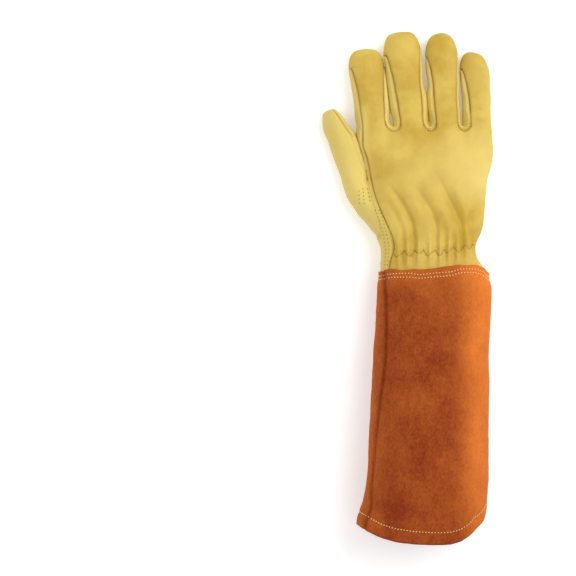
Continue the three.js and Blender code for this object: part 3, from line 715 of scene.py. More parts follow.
def round_opening(c, at):
    """Rounds the thumb's opening: pulls the corners of its block of the net in to an oval, fading out past it."""
    low, high = HAND_ROWS[THUMB_OPENING["first_row"]], HAND_ROWS[THUMB_OPENING["last_row"]]
    first, peak_columns, spread = (THUMB_OPENING[key] * FINE for key in ("first_column", "peak", "spread"))
    peak = BACK_COLUMNS + first + peak_columns
    opening = STRIP_CELLS + FORK_CELLS - first
    reach = np.where(c < peak, peak_columns, opening - peak_columns)
    p = (c - peak) / reach
    q = (at - (low + high) / 2) / ((high - low) / 2)
    fade = fade_out(np.abs(p), 1, 1 + np.where(c < peak, first, spread) / reach) * fade_out(np.abs(q), 1, 1.3)
    power = THUMB_OPENING["roundness"]
    round_size = (np.abs(p) ** power + np.abs(q) ** power) ** (1 / power)
    scale = lerp(1, np.maximum(np.abs(p), np.abs(q)) / np.maximum(round_size, 1e-6), fade)
    return peak + p * scale * reach, (low + high) / 2 + q * scale * (high - low) / 2


def hand_net_point(column, share):
    """Point of the hand's skin at a column and a share of the palm's length, run into the fingers' roots."""
    columns = hand_columns()
    column, share = np.broadcast_arrays(np.asarray(column), np.asarray(share, float))
    c, at = round_opening(column, share)
    own = columns["point"][column % len(columns["point"])]
    axis = columns["axis"][column % len(columns["point"])]
    y = at * PALM_LENGTH - (PALM_LENGTH - own[..., 1]) * smoothstep(at, HAND_ROWS[FRONT_SEAM_ROW], 1)
    skin = hand_point(y, column_angle(c, at))
    root = np.stack([own[..., 0] + (own[..., 1] - y) * axis[..., 1] / axis[..., 0], y, own[..., 2]], -1)
    point = lerp(skin, root, smoothstep(at, 0.74, 1)[..., None])
    point[..., 2] = np.maximum(point[..., 2], 0)
    return point


HAND_PANELS = [
    "back_panel", "palm_panel", "middle_front", "ring_front",
    "fourchette_index_middle", "fourchette_middle_ring", "fourchette_ring_little", "thumb",
]
BACK, PALM, MIDDLE_FRONT, RING_FRONT, FIRST_WALL, _, LAST_WALL, THUMB = range(len(HAND_PANELS))
NO_PANEL = -1
# The fingers whose fronts are panels of their own, by the finger's number.
OWN_FRONTS = {1: MIDDLE_FRONT, 2: RING_FRONT}
# The thumb's opening in the net: its first and last column, and its lowest and highest row.
OPENING_START = BACK_COLUMNS + THUMB_OPENING["first_column"] * FINE
OPENING_END = BACK_COLUMNS + STRIP_CELLS + FORK_CELLS
OPENING_LOW, OPENING_HIGH = THUMB_OPENING["first_row"] * FINE, THUMB_OPENING["last_row"] * FINE


def hand_labels():
    """The panel of every cell of the hand's own sheet, or NO_PANEL inside the thumb's opening."""
    places = hand_columns()["place"]
    row = np.arange(len(HAND_SHARES) - 1)[:, None]
    c = np.arange(len(places))[None, :]
    labels = np.where(c < BACK_COLUMNS, BACK, PALM) + np.zeros_like(row)
    fronts = (c >= BACK_COLUMNS) & (row >= FRONT_SEAM_ROW * FINE)
    for number, label in OWN_FRONTS.items():
        labels = np.where(fronts & (places == number), label, labels)
    inside = (row >= OPENING_LOW) & (row < OPENING_HIGH) & (c >= OPENING_START) & (c < OPENING_END)
    return np.where(inside, NO_PANEL, labels)


def add_fingers(net):
    """Adds every finger's back and front strips, from its base to the seam over its tip."""
    along = FINGER_STATIONS[:, None]
    share = np.arange(STRIP_CELLS + 1)[None, :] / STRIP_CELLS
    for number, finger in enumerate(FINGERS):
        seams = finger_seams(finger, along)
        seams["back_again"] = seams["back_right"] + 360
        net.sheet(finger_point(finger, along, lerp(seams["back_right"], seams["back_left"], share)), BACK)
        start = "back_left" if number == 0 else "front_left"
        end = "back_again" if number == 3 else "front_right"
        front = finger_point(finger, along, lerp(seams[start], seams[end], share))
        net.sheet(front, OWN_FRONTS.get(number, PALM))


def add_fourchette(net, number):
    """Adds the side wall between two fingers: down one, round the fork and up the other."""
    left, right = FINGERS[number], FINGERS[number + 1]
    level = np.linspace(-1, 1, SIDE_CELLS + 1)[None, :]

    def wall(finger, along, top, bottom, side):
        turn = np.where(level < 0, lerp(side, top, -level), lerp(side, bottom, level))
        return finger_point(finger, along, turn)

    along = FINGER_STATIONS[: APEX_ROW + 1][:, None]
    l, r = finger_seams(left, along), finger_seams(right, along)
    down = wall(left, along, l["back_right"], l["front_right"] - 360, 0)[::-1]
    up = wall(right, along, r["back_left"], r["front_left"], 180)

    share = (np.arange(1, FORK_CELLS) / FORK_CELLS)[:, None]
    lines = fork_lines(left, right, share[:, 0])
    l, r = finger_seams(left, 0.0), finger_seams(right, 0.0)
    start = np.where(level < 0, l["back_right"], 360 - l["front_right"])
    end = np.where(level < 0, 180 - r["back_left"], r["front_left"] - 180)
    full = np.radians(lerp(start, end, share))
    outer = np.where((level < 0)[..., None], lines["upper"][:, None], lines["lower"][:, None])
    middle = lines["middle"][:, None]
    turn = full * np.abs(level)
    point = lerp(middle, outer, ((1 - np.cos(turn)) / (1 - np.cos(full)))[..., None])
    point[..., 2] = lerp(middle[..., 2], outer[..., 2], np.sin(turn) / np.sin(full))
    net.sheet(np.concatenate([down, point, up]), FIRST_WALL + number)


def thumb_section(along):
    """The thumb's own oval: its centre, half axes and their directions."""
    dome = np.clip((along - THUMB_ROWS[-1]) / (1 - THUMB_ROWS[-1]), 0, 1)
    shoulder = np.sqrt(np.maximum(1 - dome * dome, 0))

    def read(column):
        return read_table(THUMB_SECTIONS, along, column)

    turn, tilt = np.radians(read("turn")), np.radians(read("tilt"))
    roll = np.radians(THUMB_ROLL * smoothstep(along, 0.05, 0.5))
    zero = np.zeros_like(turn)
    level = np.stack([np.cos(turn), np.sin(turn), zero], -1)
    ahead = np.stack([-np.sin(turn), np.cos(turn), zero], -1)
    up = np.stack([zero, zero, np.cos(tilt)], -1) + ahead * np.sin(tilt)[..., None]
    cos_roll, sin_roll = np.cos(roll)[..., None], np.sin(roll)[..., None]
    centre = np.stack([read("x") * PALM_WIDTH, read("y") * PALM_LENGTH, read("z") * PALM_DEPTH], -1)
    half_width = read("width") * THUMB_WIDTH / 2 * lerp(TIP_WIDTH, 1, shoulder)
    half_depth = read("depth") * THUMB_DEPTH / 2 * shoulder
    return centre, level * cos_roll + up * sin_roll, up * cos_roll - level * sin_roll, half_width, half_depth


def thumb_point(along, angle):
    """Point of the thumb's oval at a share of its length and an angle round it."""
    along, angle = np.broadcast_arrays(np.asarray(along, float), np.asarray(angle, float))
    centre, across, over, half_width, half_depth = thumb_section(along)
    turn = np.radians(angle)
    return centre + across * (half_width * np.cos(turn))[..., None] + over * (half_depth * np.sin(turn))[..., None]


def thumb_rim():
    """Points of the thumb opening's rim, its upper part first, and how many cells that part has."""
    first, last, low, high = OPENING_START, OPENING_END, OPENING_LOW, OPENING_HIGH
    finger, wrist = (first + THUMB_SEAM_COLUMNS[side] * FINE for side in ("finger", "wrist"))
    upper = [(c, high) for c in range(finger, first, -1)]
    upper += [(first, r) for r in range(high, low, -1)]
    upper += [(c, low) for c in range(first, wrist)]
    lower = [(c, low) for c in range(wrist, last)]
    lower += [(last, r) for r in range(low, high)]
    lower += [(c, high) for c in range(last, finger, -1)]
    rim = np.array(upper + lower)
    return hand_net_point(rim[:, 0], HAND_SHARES[rim[:, 1]]), len(upper)


def add_thumb(net):
    """Adds the thumb: a tube whose first ring is the opening's rim, easing into ovals and closing over its tip."""
    rim, upper = thumb_rim()
    centre, across, over, half_width, half_depth = thumb_section(np.array(0.0))
    arm = rim - centre
    turn = np.degrees(np.arctan2(arm @ over / half_depth, arm @ across / half_width))
    c = np.arange(len(rim))
    own = np.where(c <= upper, 180 * c / upper, 180 + 180 * (c - upper) / (len(rim) - upper))
    start = turn + 360 * np.round((own - turn) / 360)
    offset = rim - thumb_point(0.0, start)
    along = tip_stations(THUMB_ROWS, THUMB_ROWS[-1])[:, None]
    fade = fade_out(along, 0, THUMB_ROOT_BLEND)
    points = thumb_point(along, lerp(own, start, fade)) + offset * fade[..., None]
    points[..., 2] = np.maximum(points[..., 2], 0)
    points = np.concatenate([points, points[:, :1]], 1)
    net.sheet(points, THUMB)
    tip = (len(DOME_TURNS) - 1) * FINE
    net.thumb_seam = np.concatenate([points[:, 0], points[-1], points[-tip - 2 * FINE :, upper]])
    net.thumb_root = points[0]


def bare_hand():
    """The hand's sheets as one welded net: back and palm, fingers, side walls and thumb."""
    net = Net(HAND_PANELS)
    columns = np.arange(len(hand_columns()["back"]) + 1)[None, :]
    net.sheet(hand_net_point(columns, HAND_SHARES[:, None]), hand_labels())
    add_fingers(net)
    for number in range(len(FINGERS) - 1):
        add_fourchette(net, number)
    add_thumb(net)
    net.weld()
    return net


def soften_hand(net):
    """Smooths the thumb's root, its crotch and the forks on the upper side, and closes the crotch.

    A weight is the product of shares: how far the skin faces up, how near it lies, and how far from a seam that
    shows. Gives back which points the hidden seam holds, and every point's distance from the crotch's line.
    """
    root = nearest_distance(net.points, net.thumb_root)
    above = smoothstep(net.normals[:, 2], -0.35, 0.1)
    hidden = (root < 0.05) & (above > 0.5)
    net.gap = np.where(hidden, HIDDEN_SEAM, OPEN_SEAM)
    net.smooth(above * fade_out(root, 6, 20), ROOT_ROUNDS)
    held = net.seam_points()
    held = smoothstep(nearest_distance(net.points, net.points[held[~hidden[held]]]), 0.6, 5)
    crotch = np.linalg.norm(net.points[:, :2] - THUMB_CROTCH, axis=1)

    def upper(low, high):
        return held * smoothstep(net.normals[:, 2], low, high)

    net.smooth(upper(-0.6, -0.2) * fade_out(crotch, 10, 22), CROTCH_ROUNDS)
    close_crotch(net, held)
    net.smooth(upper(-0.7, -0.3) * fade_out(crotch, 9, 14), CLOSED_ROUNDS)
    y = net.points[:, 1]
    net.smooth(upper(0.1, 0.5) * smoothstep(y, 55, 85) * fade_out(y, 128, 140), FORK_ROUNDS)
    close_crotch(net, held)
    gap, _ = line_distance(net.points, CROTCH_LINE)
    net.smooth(upper(-0.5, -0.1) * fade_out(gap, 2.5, 6), LINE_ROUNDS)
    return hidden, gap


def hand_seams(net, hidden):
    """Distance of every point from the nearest seam that shows, the thumb's own seam and its crease among them."""
    points = net.points
    at_seam = net.seam_points()
    at_seam = at_seam[~hidden[at_seam]]
    thumb_seam = points[net.nearest(net.thumb_seam)]
    thumb_seam = thumb_seam[np.linalg.norm(thumb_seam[:, :2] - THUMB_CROTCH, axis=1) > CLEAR_OF_CROTCH]
    seam = nearest_distance(points, np.concatenate([points[at_seam], thumb_seam]))
    on_thumb = (point_labels(net) == THUMB) & (net.normals[:, 2] > 0)
    crease = line_distance(points, THUMB_CREASE)[0] + CREASE_OFFSET
    return np.where(on_thumb, np.minimum(seam, crease), seam)


def hand_relief(net, seam):
    """Relief in millimetres: a dip at each seam with a lip beside it, folds, gathers, ripples and stitch grooves."""
    points, height = net.points, net.normals[:, 2]
    size = bpy.context.scene.gauntlet_sizes
    reach = size.seam_reach * MM
    up, down = smoothstep(height, 0.05, 0.6), smoothstep(-height, 0.05, 0.6)
    relief = -size.seam_depth * MM * np.clip(1 - seam / reach, 0, 1) ** 2
    relief *= 1 + ripples(points, SEAM_RIPPLES)
    relief += swell(seam - reach, *SEAM_LIP)
    relief += size.fold_depth * up * fold_relief(points, BACK_FOLDS)
    relief += size.fold_depth * down * fold_relief(points, PALM_FOLDS)
    relief += shirring_relief(points) * up
    relief += ripples(points, HAND_RIPPLES) * smoothstep(points[:, 2], 0.4, 3)
    relief *= smoothstep(points[:, 1], -6, 4) * 0.9 + 0.1
    for row in net.base_rows:
        relief += down * swell(line_distance(points, row)[0], *HAND_GROOVE)
    return relief


@functools.lru_cache
def hand_net():
    """The whole hand as one net with its relief, the seam mask and the tone of every point."""
    net = bare_hand()
    hidden, gap = soften_hand(net)
    calm = 1 - bell(gap, CALM_WIDTH)
    lean_walls(net)
    shape_tips(net)
    seam = hand_seams(net, hidden)
    net.base_rows = thumb_base_lines(net)
    net.relief = hand_relief(net, seam) * calm
    # The seam mask is painted shade: darker and browner along the crevices of the seams that show.
    net.mask = bell(seam, LEATHER_LINE) * calm
    net.tone = hand_tone(net)
    finish_net(net)
    return net


def close_crotch(net, held):
    """Draws the two walls beside the thumb's crotch together across its line, and raises the valley below it."""
    thumb = point_labels(net) == THUMB
    gap, _ = line_distance(net.points, CROTCH_LINE)
    x, y, z = net.points.T
    middle = np.interp(y, CROTCH_LINE[::-1, 1], CROTCH_LINE[::-1, 0])
    middle = middle + np.where(thumb, THUMB_SIDE[0] + THUMB_SIDE[1] * smoothstep(y, 90, 97), 0)
    outside = smoothstep(net.normals[:, 2], -0.5, -0.1)
    pull = np.where(thumb, CROTCH_PULL["thumb"], CROTCH_PULL["palm"] * held)
    pull = pull * bell(gap, CROTCH_PULL["width"]) * smoothstep(z, 5, 11) * outside
    low = np.maximum(CROTCH_HEIGHT - z, 0) * fade_out(gap, 3, 9) * outside
    low *= smoothstep(y, 66, 76) * fade_out(y, 94, 101)
    net.points = np.stack([x + (middle - x) * pull, y, z + low], 1)
    net.normals = net.outward(net.points)


def lean_walls(net):
    """Leans the facing walls of neighbouring fingers together: each by half the slit, fading out like a bell."""
    for left, right, (start, touch, part, free) in zip(FINGERS, FINGERS[1:], TOUCHING_WALLS):
        x, y = net.points[:, 0], net.points[:, 1]
        along = np.linspace(0, FINGER_DOME_START, 40)
        walls = finger_point(left, along, 0), finger_point(right, along, 180)
        left_x, right_x = (np.interp(y, wall[:, 1], wall[:, 0]) for wall in walls)
        middle = (left_x + right_x) / 2
        half = np.clip((right_x - left_x) / 2 + LEAN_OVERLAP, 0, LEAN_LIMIT)
        beside = np.maximum(np.abs(x - middle) - half, 0)
        share = bell(beside, LEAN_WIDTH) * smoothstep(y, start, touch) * fade_out(y, part, free)
        net.points[:, 0] -= np.sign(x - middle) * half * share
    net.normals = net.outward(net.points)


def shape_tips(net):
    """Bends the fingertips: each end of the finger reaches by a parabola through its three table values."""
    for finger in FINGERS:
        along = (net.points[:, 1] - PALM_LENGTH) / (finger["length"] * FINGER_LENGTH)
        middle = lerp(finger["base"], finger["tip"], np.clip(along, 0, 1)) * PALM_WIDTH
        across = (net.points[:, 0] - middle) / (finger["width"] * FINGER_WIDTH / 2)
        left, centre, right = finger["reach"]
        reach = centre + (right - left) / 2 * across + ((right + left) / 2 - centre) * across**2
        own = (np.abs(across) < 1.1) & (along > 0.3)
        net.points[:, 1] += np.where(own, reach * smoothstep(along, 0.55, 1.0), 0)
    net.normals = net.outward(net.points)


def shirring_line(share):
    """Place of the elastic's scalloped seam: a straight line less the drop times the size of a sine."""
    left, right = np.array(SHIRRING["left"]), np.array(SHIRRING["right"])
    share = np.asarray(share, float)
    place = lerp(left, right, share[..., None])
    uneven = share + 0.012 * np.sin(19 * share + 1) + 0.006 * np.sin(47 * share)
    wave = np.abs(np.sin(np.pi * SHIRRING["scallops"] * uneven)) * (1 + 0.25 * np.sin(31 * share + 2))
    place[..., 1] += SHIRRING["drop"] * (0.5 - wave) + 1.2 * np.sin(2.6 * np.pi * share)
    return place


def shirring_relief(points):
    """Gathers round the elastic: a cosine across the wrist, strongest at the seam, and a groove under the seam."""
    left, right = np.array(SHIRRING["left"]), np.array(SHIRRING["right"])
    share = (points[:, 0] - left[0]) / (right[0] - left[0])
    inside = smoothstep(share, -0.03, 0.05) * fade_out(share, 0.96, 1.03)
    chord = lerp(left[1], right[1], share)
    height = points[:, 1] - chord
    fade = bell(height, np.where(height > 0, SHIRRING["reach"], SHIRRING["reach_below"]))
    turns = 2 * np.pi * SHIRRING["scallops"] * share + 0.9 * np.sin(9 * share)
    small = swell(height, SHIRRING["small_gather"], SHIRRING["small_reach"]) * np.cos(2.1 * turns + 1)
    groove = bell(height - (shirring_line(np.clip(share, 0, 1))[:, 1] - chord), SHIRRING["groove"])
    return -inside * ((SHIRRING["gather"] * np.cos(turns) + small) * fade + groove)


def hand_tone(net):
    """Tone from 0, deep yellow, to 1, pale: deep on the fingers and the wrist, pale on the thumb and the palm, partly
    as painted light.
    """
    x, y = net.points[:, 0], net.points[:, 1]
    tones, labels = LEATHER_TONES, point_labels(net)
    # Painted light: the back is paler on the little side, lit from the right, and deeper on the index side, in shade.
    middle = tones["middle"] + tones["lit_little_side"] * smoothstep(x, 0, 45)
    middle = middle + tones["shaded_index_side"] * smoothstep(-x, 25, 45)
    fingers = np.interp(x, FINGER_TONES["x"], FINGER_TONES["tone"])
    tone = lerp(lerp(tones["wrist"], middle, smoothstep(y, 45, 80)), fingers, smoothstep(y, 108, 140))
    # The palm, the side walls and the thumb are made paler partly as painted light against the shade they lie in.
    tone = np.where(np.isin(labels, (PALM, THUMB)), tones["palm"], tone)
    tone = np.where((labels >= FIRST_WALL) & (labels <= LAST_WALL), tones["walls"], tone)
    thumb = tones["thumb"] + tones["thumb_tip"] * smoothstep(-x, 62, 80)
    tone = lerp(tone, thumb, smoothstep(-x, 48, 60) * fade_out(y, 130, 150))
    tone = lerp(tone, tones["below"], smoothstep(-net.normals[:, 2], -0.1, 0.5))
    return np.clip(tone + ripples(net.points, HAND_TONE_RIPPLES), 0, 1)


def finish_net(net):
    """Moves every point along its normal by its relief, keeps it off the floor, and works out the new normals."""
    net.skin = net.points + net.normals * net.relief[:, None]
    net.skin[:, 2] = np.maximum(net.skin[:, 2], 0)
    net.wall_normals = net.normals
    net.normals = net.outward(net.skin)
    net.tree = BVHTree.FromPolygons(net.skin.tolist(), net.faces.tolist())


def cuff_sheet(net):
    """Adds the cuff's rows from hem to top edge, and keeps every point's distance from both in millimetres."""
    at = (1 - np.linspace(0, 1, CUFF_ROW_CELLS + 1))[:, None]
    k = np.arange(CUFF_CELLS + 1)[None, :] * 2 / CUFF_CELLS
    thumb_seam = read_table(CUFF_SECTIONS, at, "thumb_seam")
    on_back = lerp(CUFF_LITTLE_SEAM, thumb_seam, k)
    on_palm = lerp(thumb_seam, CUFF_LITTLE_SEAM + 360, k - 1)
    angle = np.where(k <= 1, on_back, on_palm)
    points = cuff_point(at, angle)
    turn = np.radians(angle)
    wave = (0.9 * np.sin(turn * 5 + 0.7) + 0.6 * np.sin(turn * 11)) * np.sin(turn).clip(0)
    points[..., 1] += wave * fade_out(at, 0, 0.05) + edge_shift(points, at)
    points[:, -1] = points[:, 0]
    net.sheet(points, np.where(np.arange(CUFF_CELLS) < CUFF_CELLS / 2, 0, 1)[None, :])
    net.weld()
    from_hem = np.where(at > 0.5, (1 - at) * CUFF_LENGTH, FAR_FROM_HEM) + np.zeros_like(k)
    from_top = at * CUFF_LENGTH + np.zeros_like(k)
    net.from_hem, net.from_top = from_hem.ravel()[net.first], from_top.ravel()[net.first]


def stitch_grooves(net, band, hem):
    """Grooves under the cuff's rows of stitches: a swell of the distance from each row."""
    return sum(swell(net.from_top - inset, *band) for inset in BAND_STITCHES) + swell(net.from_hem - HEM_STITCHES, *hem)


def cuff_relief(net, seam):
    """Relief in millimetres: lapped side seams, a rolled hem, grooves, ripples and folds; grooves alone below."""
    points, from_hem = net.points, net.from_hem
    on_back = point_labels(net) == 0
    hem = fade_out(from_hem, HEM_TURN, HEM_TURN + 6)
    relief = swell(seam, np.where(on_back, LAP_RISE + HEM_LAP * hem, -LAP_DROP - HEM_LAP * hem), LAP_REACH)
    depth = np.where(on_back, SIDE_GROOVE["back"], SIDE_GROOVE["palm"])
    relief -= swell(seam - SIDE_GROOVE["from"], depth, SIDE_GROOVE["width"])
    for (inset, shape), share in ((HEM_ROLL, smoothstep(-points[:, 0], 38, 56)), (HEM_SWELL, 1)):
        relief += share * swell(from_hem - inset, *shape)
    relief += stitch_grooves(net, BAND_GROOVE, HEM_GROOVE)
    relief += ripples(points, CUFF_RIPPLES)
    relief += ripples(points, EDGE_RIPPLES) * (np.exp(-net.from_top / 9) + np.exp(-from_hem / 9))
    folds = bpy.context.scene.gauntlet_sizes.fold_depth * smoothstep(net.normals[:, 2], 0.0, 0.6)
    relief += folds * fold_relief(points, CUFF_FOLDS)
    return lerp(stitch_grooves(net, LAID_GROOVE, LAID_GROOVE), relief, smoothstep(points[:, 2], 0.1, 2.5))


@functools.lru_cache
def cuff_net():
    """The cuff as one net with its relief, the seam mask and the tone of every point."""
    net = Net(["cuff_back", "cuff_palm"])
    cuff_sheet(net)
    seam = nearest_distance(net.points, net.points[net.seam_points()])
    net.gap = np.full(len(net.points), -LAP_WIDTH / SEAM_GAP)
    net.relief = cuff_relief(net, seam)
    # The seam mask is painted shade along the crevices of the lapped side seams.
    net.mask = bell(seam, SUEDE_LINE)
    net.tone = cuff_tone(net)
    finish_net(net)
    return net


def cuff_tone(net):
    """Tone from 0, dark, to 1, light: light sides as painted light, a light top, and soft oval clouds, each a bell of
    its distance.
    """
    points, clouds, tones = net.points, TONE_CLOUDS, SUEDE_TONES
    x = points[:, 0]
    shades = clouds["shade"] * bell(x[:, None] - clouds["x"], clouds["wide"])
    shades = (shades * bell(points[:, None, 1] - clouds["y"], clouds["long"])).sum(1)
    tone = tones["clouds"] * shades * smoothstep(net.normals[:, 2], 0, 0.5)
    # Painted light: the little side lighter as lit from the right, the thumb side lighter against its shade.
    tone += tones["lit_little_side"] * smoothstep(x, 18, 48) + tones["thumb_side"] * smoothstep(-x, 34, 54)
    tone += tones["middle"] + tones["top"] * np.exp(-net.from_top / 35)
    tone += tones["bottom"] * smoothstep(net.from_top, 150, 200)
    return np.clip(tone + ripples(points, CUFF_TONE_RIPPLES), 0, 1)


def point_labels(net):
    """One label for every point: the highest of the faces round it."""
    labels = np.zeros(len(net.points), int)
    for k in range(4):
        np.maximum.at(labels, net.faces[:, k], net.labels)
    return labels


def panel_arrays(net, label, wall):
    """A panel as a closed wall: its region of the net, drawn in by half the gap and thickened inwards.

    The rim's sideways direction is the normal crossed with the rim edge; the inner side is the outer side less
    the normal times the wall.
    """
    faces = net.faces[net.labels == label]
    size = len(net.points)
    start, end, labels = net.edges()
    start, end = start[labels == label], end[labels == label]
    lone = ~np.isin(start * size + end, end * size + start)
    start, end = start[lone], end[lone]
    side = unit(np.cross(net.wall_normals[start], net.points[end] - net.points[start]))
    shift = np.zeros_like(net.points)
    np.add.at(shift, start, side)
    np.add.at(shift, end, side)
    meeting = np.maximum((shift**2).sum(1) / 2, 0.15)
    outer = net.skin + shift * (SEAM_GAP / 2 * net.gap / meeting)[:, None]
    inner = outer - net.wall_normals * np.broadcast_to(wall, size)[:, None]
    used = np.unique(faces)
    count = len(used)
    place = np.full(size, -1)
    place[used] = np.arange(count)
    outside = place[faces]
    a, b = place[start], place[end]
    rim = np.stack([b, a, a + count, b + count], 1)
    faces = np.concatenate([outside, outside[:, ::-1] + count, rim])
    mask = np.concatenate([net.mask[used], np.zeros(count)])
    return np.concatenate([outer[used], inner[used]]), faces, {"seam": mask, "tone": np.tile(net.tone[used], 2)}


def new_object(name, data):
    """A new object, linked to the scene."""
    item = bpy.data.objects.new(name, data)
    bpy.context.scene.collection.objects.link(item)
    return item


def make_piece(name, points, faces, attributes, material, slot, replaced=()):
    """Puts arrays into a new object in metres; a face that repeats a corner loses it."""
    mesh = bpy.data.meshes.new(name)
    keep = faces != np.roll(faces, -1, 1)
    keep[keep.sum(1) < 3] = False
    counts = keep.sum(1)
    counts = counts[counts > 0]
    corners = faces[keep]
    mesh.vertices.add(len(points))
    mesh.vertices.foreach_set("co", ((points + ORIGIN) / MM).astype(np.float32).ravel())
    mesh.loops.add(len(corners))
    mesh.loops.foreach_set("vertex_index", corners.astype(np.int32))
    mesh.polygons.add(len(counts))
    mesh.polygons.foreach_set("loop_start", np.concatenate([[0], np.cumsum(counts)[:-1]]).astype(np.int32))
    mesh.update(calc_edges=True)
    mesh.polygons.foreach_set("use_smooth", np.ones(len(counts), bool))
    for key, values in attributes.items():
        mesh.attributes.new(key, "FLOAT", "POINT").data.foreach_set("value", values.astype(np.float32))
    mesh.validate()
    mesh.materials.append(material)
    piece = new_object(name, mesh)
    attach(piece, "root")
    if replaced:
        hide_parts(*replaced)
    return piece


def laid_path(net, guide, pitch, from_above=None):
    """Even places along a guide line, laid on the net: straight down or up in plan, or at the nearest point."""
    guide = np.array(guide, float)
    along = np.concatenate([[0], np.cumsum(np.linalg.norm(np.diff(guide, axis=0), axis=1))])
    even = np.linspace(0, along[-1], max(int(along[-1] / pitch), 2) + 1)
    found = []
    for place in zip(*(np.interp(even, along, column) for column in guide.T)):
        if from_above is None:
            spot, normal, _, _ = net.tree.find_nearest(Vector(place))
        else:
            start = Vector((place[0], place[1], 200 if from_above else -50))
            spot, normal, _, _ = net.tree.ray_cast(start, Vector((0, 0, -1 if from_above else 1)))
        if spot is not None:
            found.append((spot[:], normal[:]))
    places, normals = zip(*found)
    return np.array(places), np.array(normals)


def thread_ring(across, up):
    """Directions round a thread: the cosine of each turn times across plus its sine times up."""
    turns = np.arange(THREAD_SIDES) * 2 * np.pi / THREAD_SIDES
    return np.cos(turns)[:, None] * across[..., None, :] + np.sin(turns)[:, None] * up[..., None, :]


def fan(ring):
    """Triangles that close a ring of point numbers, each written as a quad with its last corner twice."""
    last = ring[..., 2:]
    return np.stack([np.broadcast_to(ring[..., :1], last.shape), ring[..., 1:-1], last, last], -1).reshape(-1, 4)


def tube_faces(ids):
    """Quads between the rings of tubes and fans over their two ends; point numbers run along, then round."""
    after = np.roll(ids, -1, -1)
    side = [ids[..., :-1, :], after[..., :-1, :], after[..., 1:, :], ids[..., 1:, :]]
    return np.concatenate([np.stack(side, -1).reshape(-1, 4), fan(ids[..., 0, ::-1]), fan(ids[..., -1, :])])


def thread_rows(paths, radius, lift):
    """Stitches along laid paths as one mesh: each is a bent bead whose middle stands proud of the leather.

    A stitch reaches STITCH_REACH of the way between two holes. Its height is the lift times a half sine along it,
    and its radius shrinks to a third at its two ends.
    """
    stations = np.linspace(0, 1, STITCH_STATIONS)
    hump = np.sin(np.pi * stations)
    points, faces, start = [], [], 0
    for places, normals in paths:
        along, up = places[1:] - places[:-1], unit(normals[:-1] + normals[1:])
        centre = places[:-1, None] + along[:, None] * (0.5 + (stations - 0.5) * STITCH_REACH)[None, :, None]
        centre = centre + up[:, None] * (lift * hump - radius * 0.5)[None, :, None]
        size = radius * (0.35 + 0.65 * hump**0.6)
        bead = centre[:, :, None] + thread_ring(unit(np.cross(along, up)), up)[:, None] * size[None, :, None, None]
        ids = start + np.arange(bead.size // 3).reshape(bead.shape[:3])
        points.append(bead.reshape(-1, 3))
        faces.append(tube_faces(ids))
        start += ids.size
    points = np.concatenate(points)
    points[:, 2] = np.maximum(points[:, 2], 0)
    return points, np.concatenate(faces)


def cord_arrays(places, normals, radius):
    """A thread lying along a path: a ring of points round each place, half sunk in the leather."""
    across = unit(np.cross(np.gradient(places, axis=0), normals))
    points = places[:, None] + thread_ring(across, normals) * radius + normals[:, None] * radius * 0.2
    return points.reshape(-1, 3), tube_faces(np.arange(points.size // 3).reshape(points.shape[:2]))


def colour(value):
    """A colour from 0-255 display values as linear values."""
    share = np.array(value, float) / 255
    return (*np.where(share <= 0.04045, share / 12.92, ((share + 0.055) / 1.055) ** 2.4), 1.0)


def new_group(name, numbers, outputs):
    """A shader node group with a vector and named numbers in and named numbers out, and its two end nodes."""
    group = bpy.data.node_groups.new(name, "ShaderNodeTree")
    group.interface.new_socket(name="Vector", in_out="INPUT", socket_type="NodeSocketVector")
    for key, value in numbers.items():
        group.interface.new_socket(name=key, in_out="INPUT", socket_type="NodeSocketFloat").default_value = value
    for key in outputs:
        group.interface.new_socket(name=key, in_out="OUTPUT", socket_type="NodeSocketFloat")
    return group, group.nodes.new("NodeGroupInput"), group.nodes.new("NodeGroupOutput")


def plug(tree, node, **sockets):
    """Links or sets a node's sockets: a name's underscore stands for a space, and i with a number for a place."""
    for key, value in sockets.items():
        socket = node.inputs[int(key[1:]) if key[1:].isdigit() else key.replace("_", " ")]
        if isinstance(value, bpy.types.NodeSocket):
            tree.links.new(value, socket)
        else:
            socket.default_value = value
    return node


def add_node(tree, kind, settings=(), **sockets):
    """A node with its settings and its sockets."""
    node = tree.nodes.new(kind)
    for key, value in dict(settings).items():
        setattr(node, key, value)
    return plug(tree, node, **sockets)


def mix_colour(tree, share, first, second):
    """A colour mix node's result."""
    settings = {"data_type": "RGBA", "clamp_factor": True}
    return add_node(tree, "ShaderNodeMix", settings, i0=share, i6=first, i7=second).outputs[2]


def do_math(tree, operation, first, second, clamp=False):
    """A math node's result."""
    settings = {"operation": operation, "use_clamp": clamp}
    return add_node(tree, "ShaderNodeMath", settings, i0=first, i1=second).outputs[0]


def ramp(tree, value, low, high, start=0.0, end=1.0):
    """A value mapped from low..high to start..end and clamped."""
    limits = {"From_Min": low, "From_Max": high, "To_Min": start, "To_Max": end}
    return add_node(tree, "ShaderNodeMapRange", {"clamp": True}, Value=value, **limits).outputs["Result"]


def noise(tree, vector, scale, detail, roughness=0.5):
    """A noise texture's value."""
    sizes = {"Scale": scale, "Detail": detail, "Roughness": roughness}
    return add_node(tree, "ShaderNodeTexNoise", Vector=vector, **sizes).outputs["Fac"]


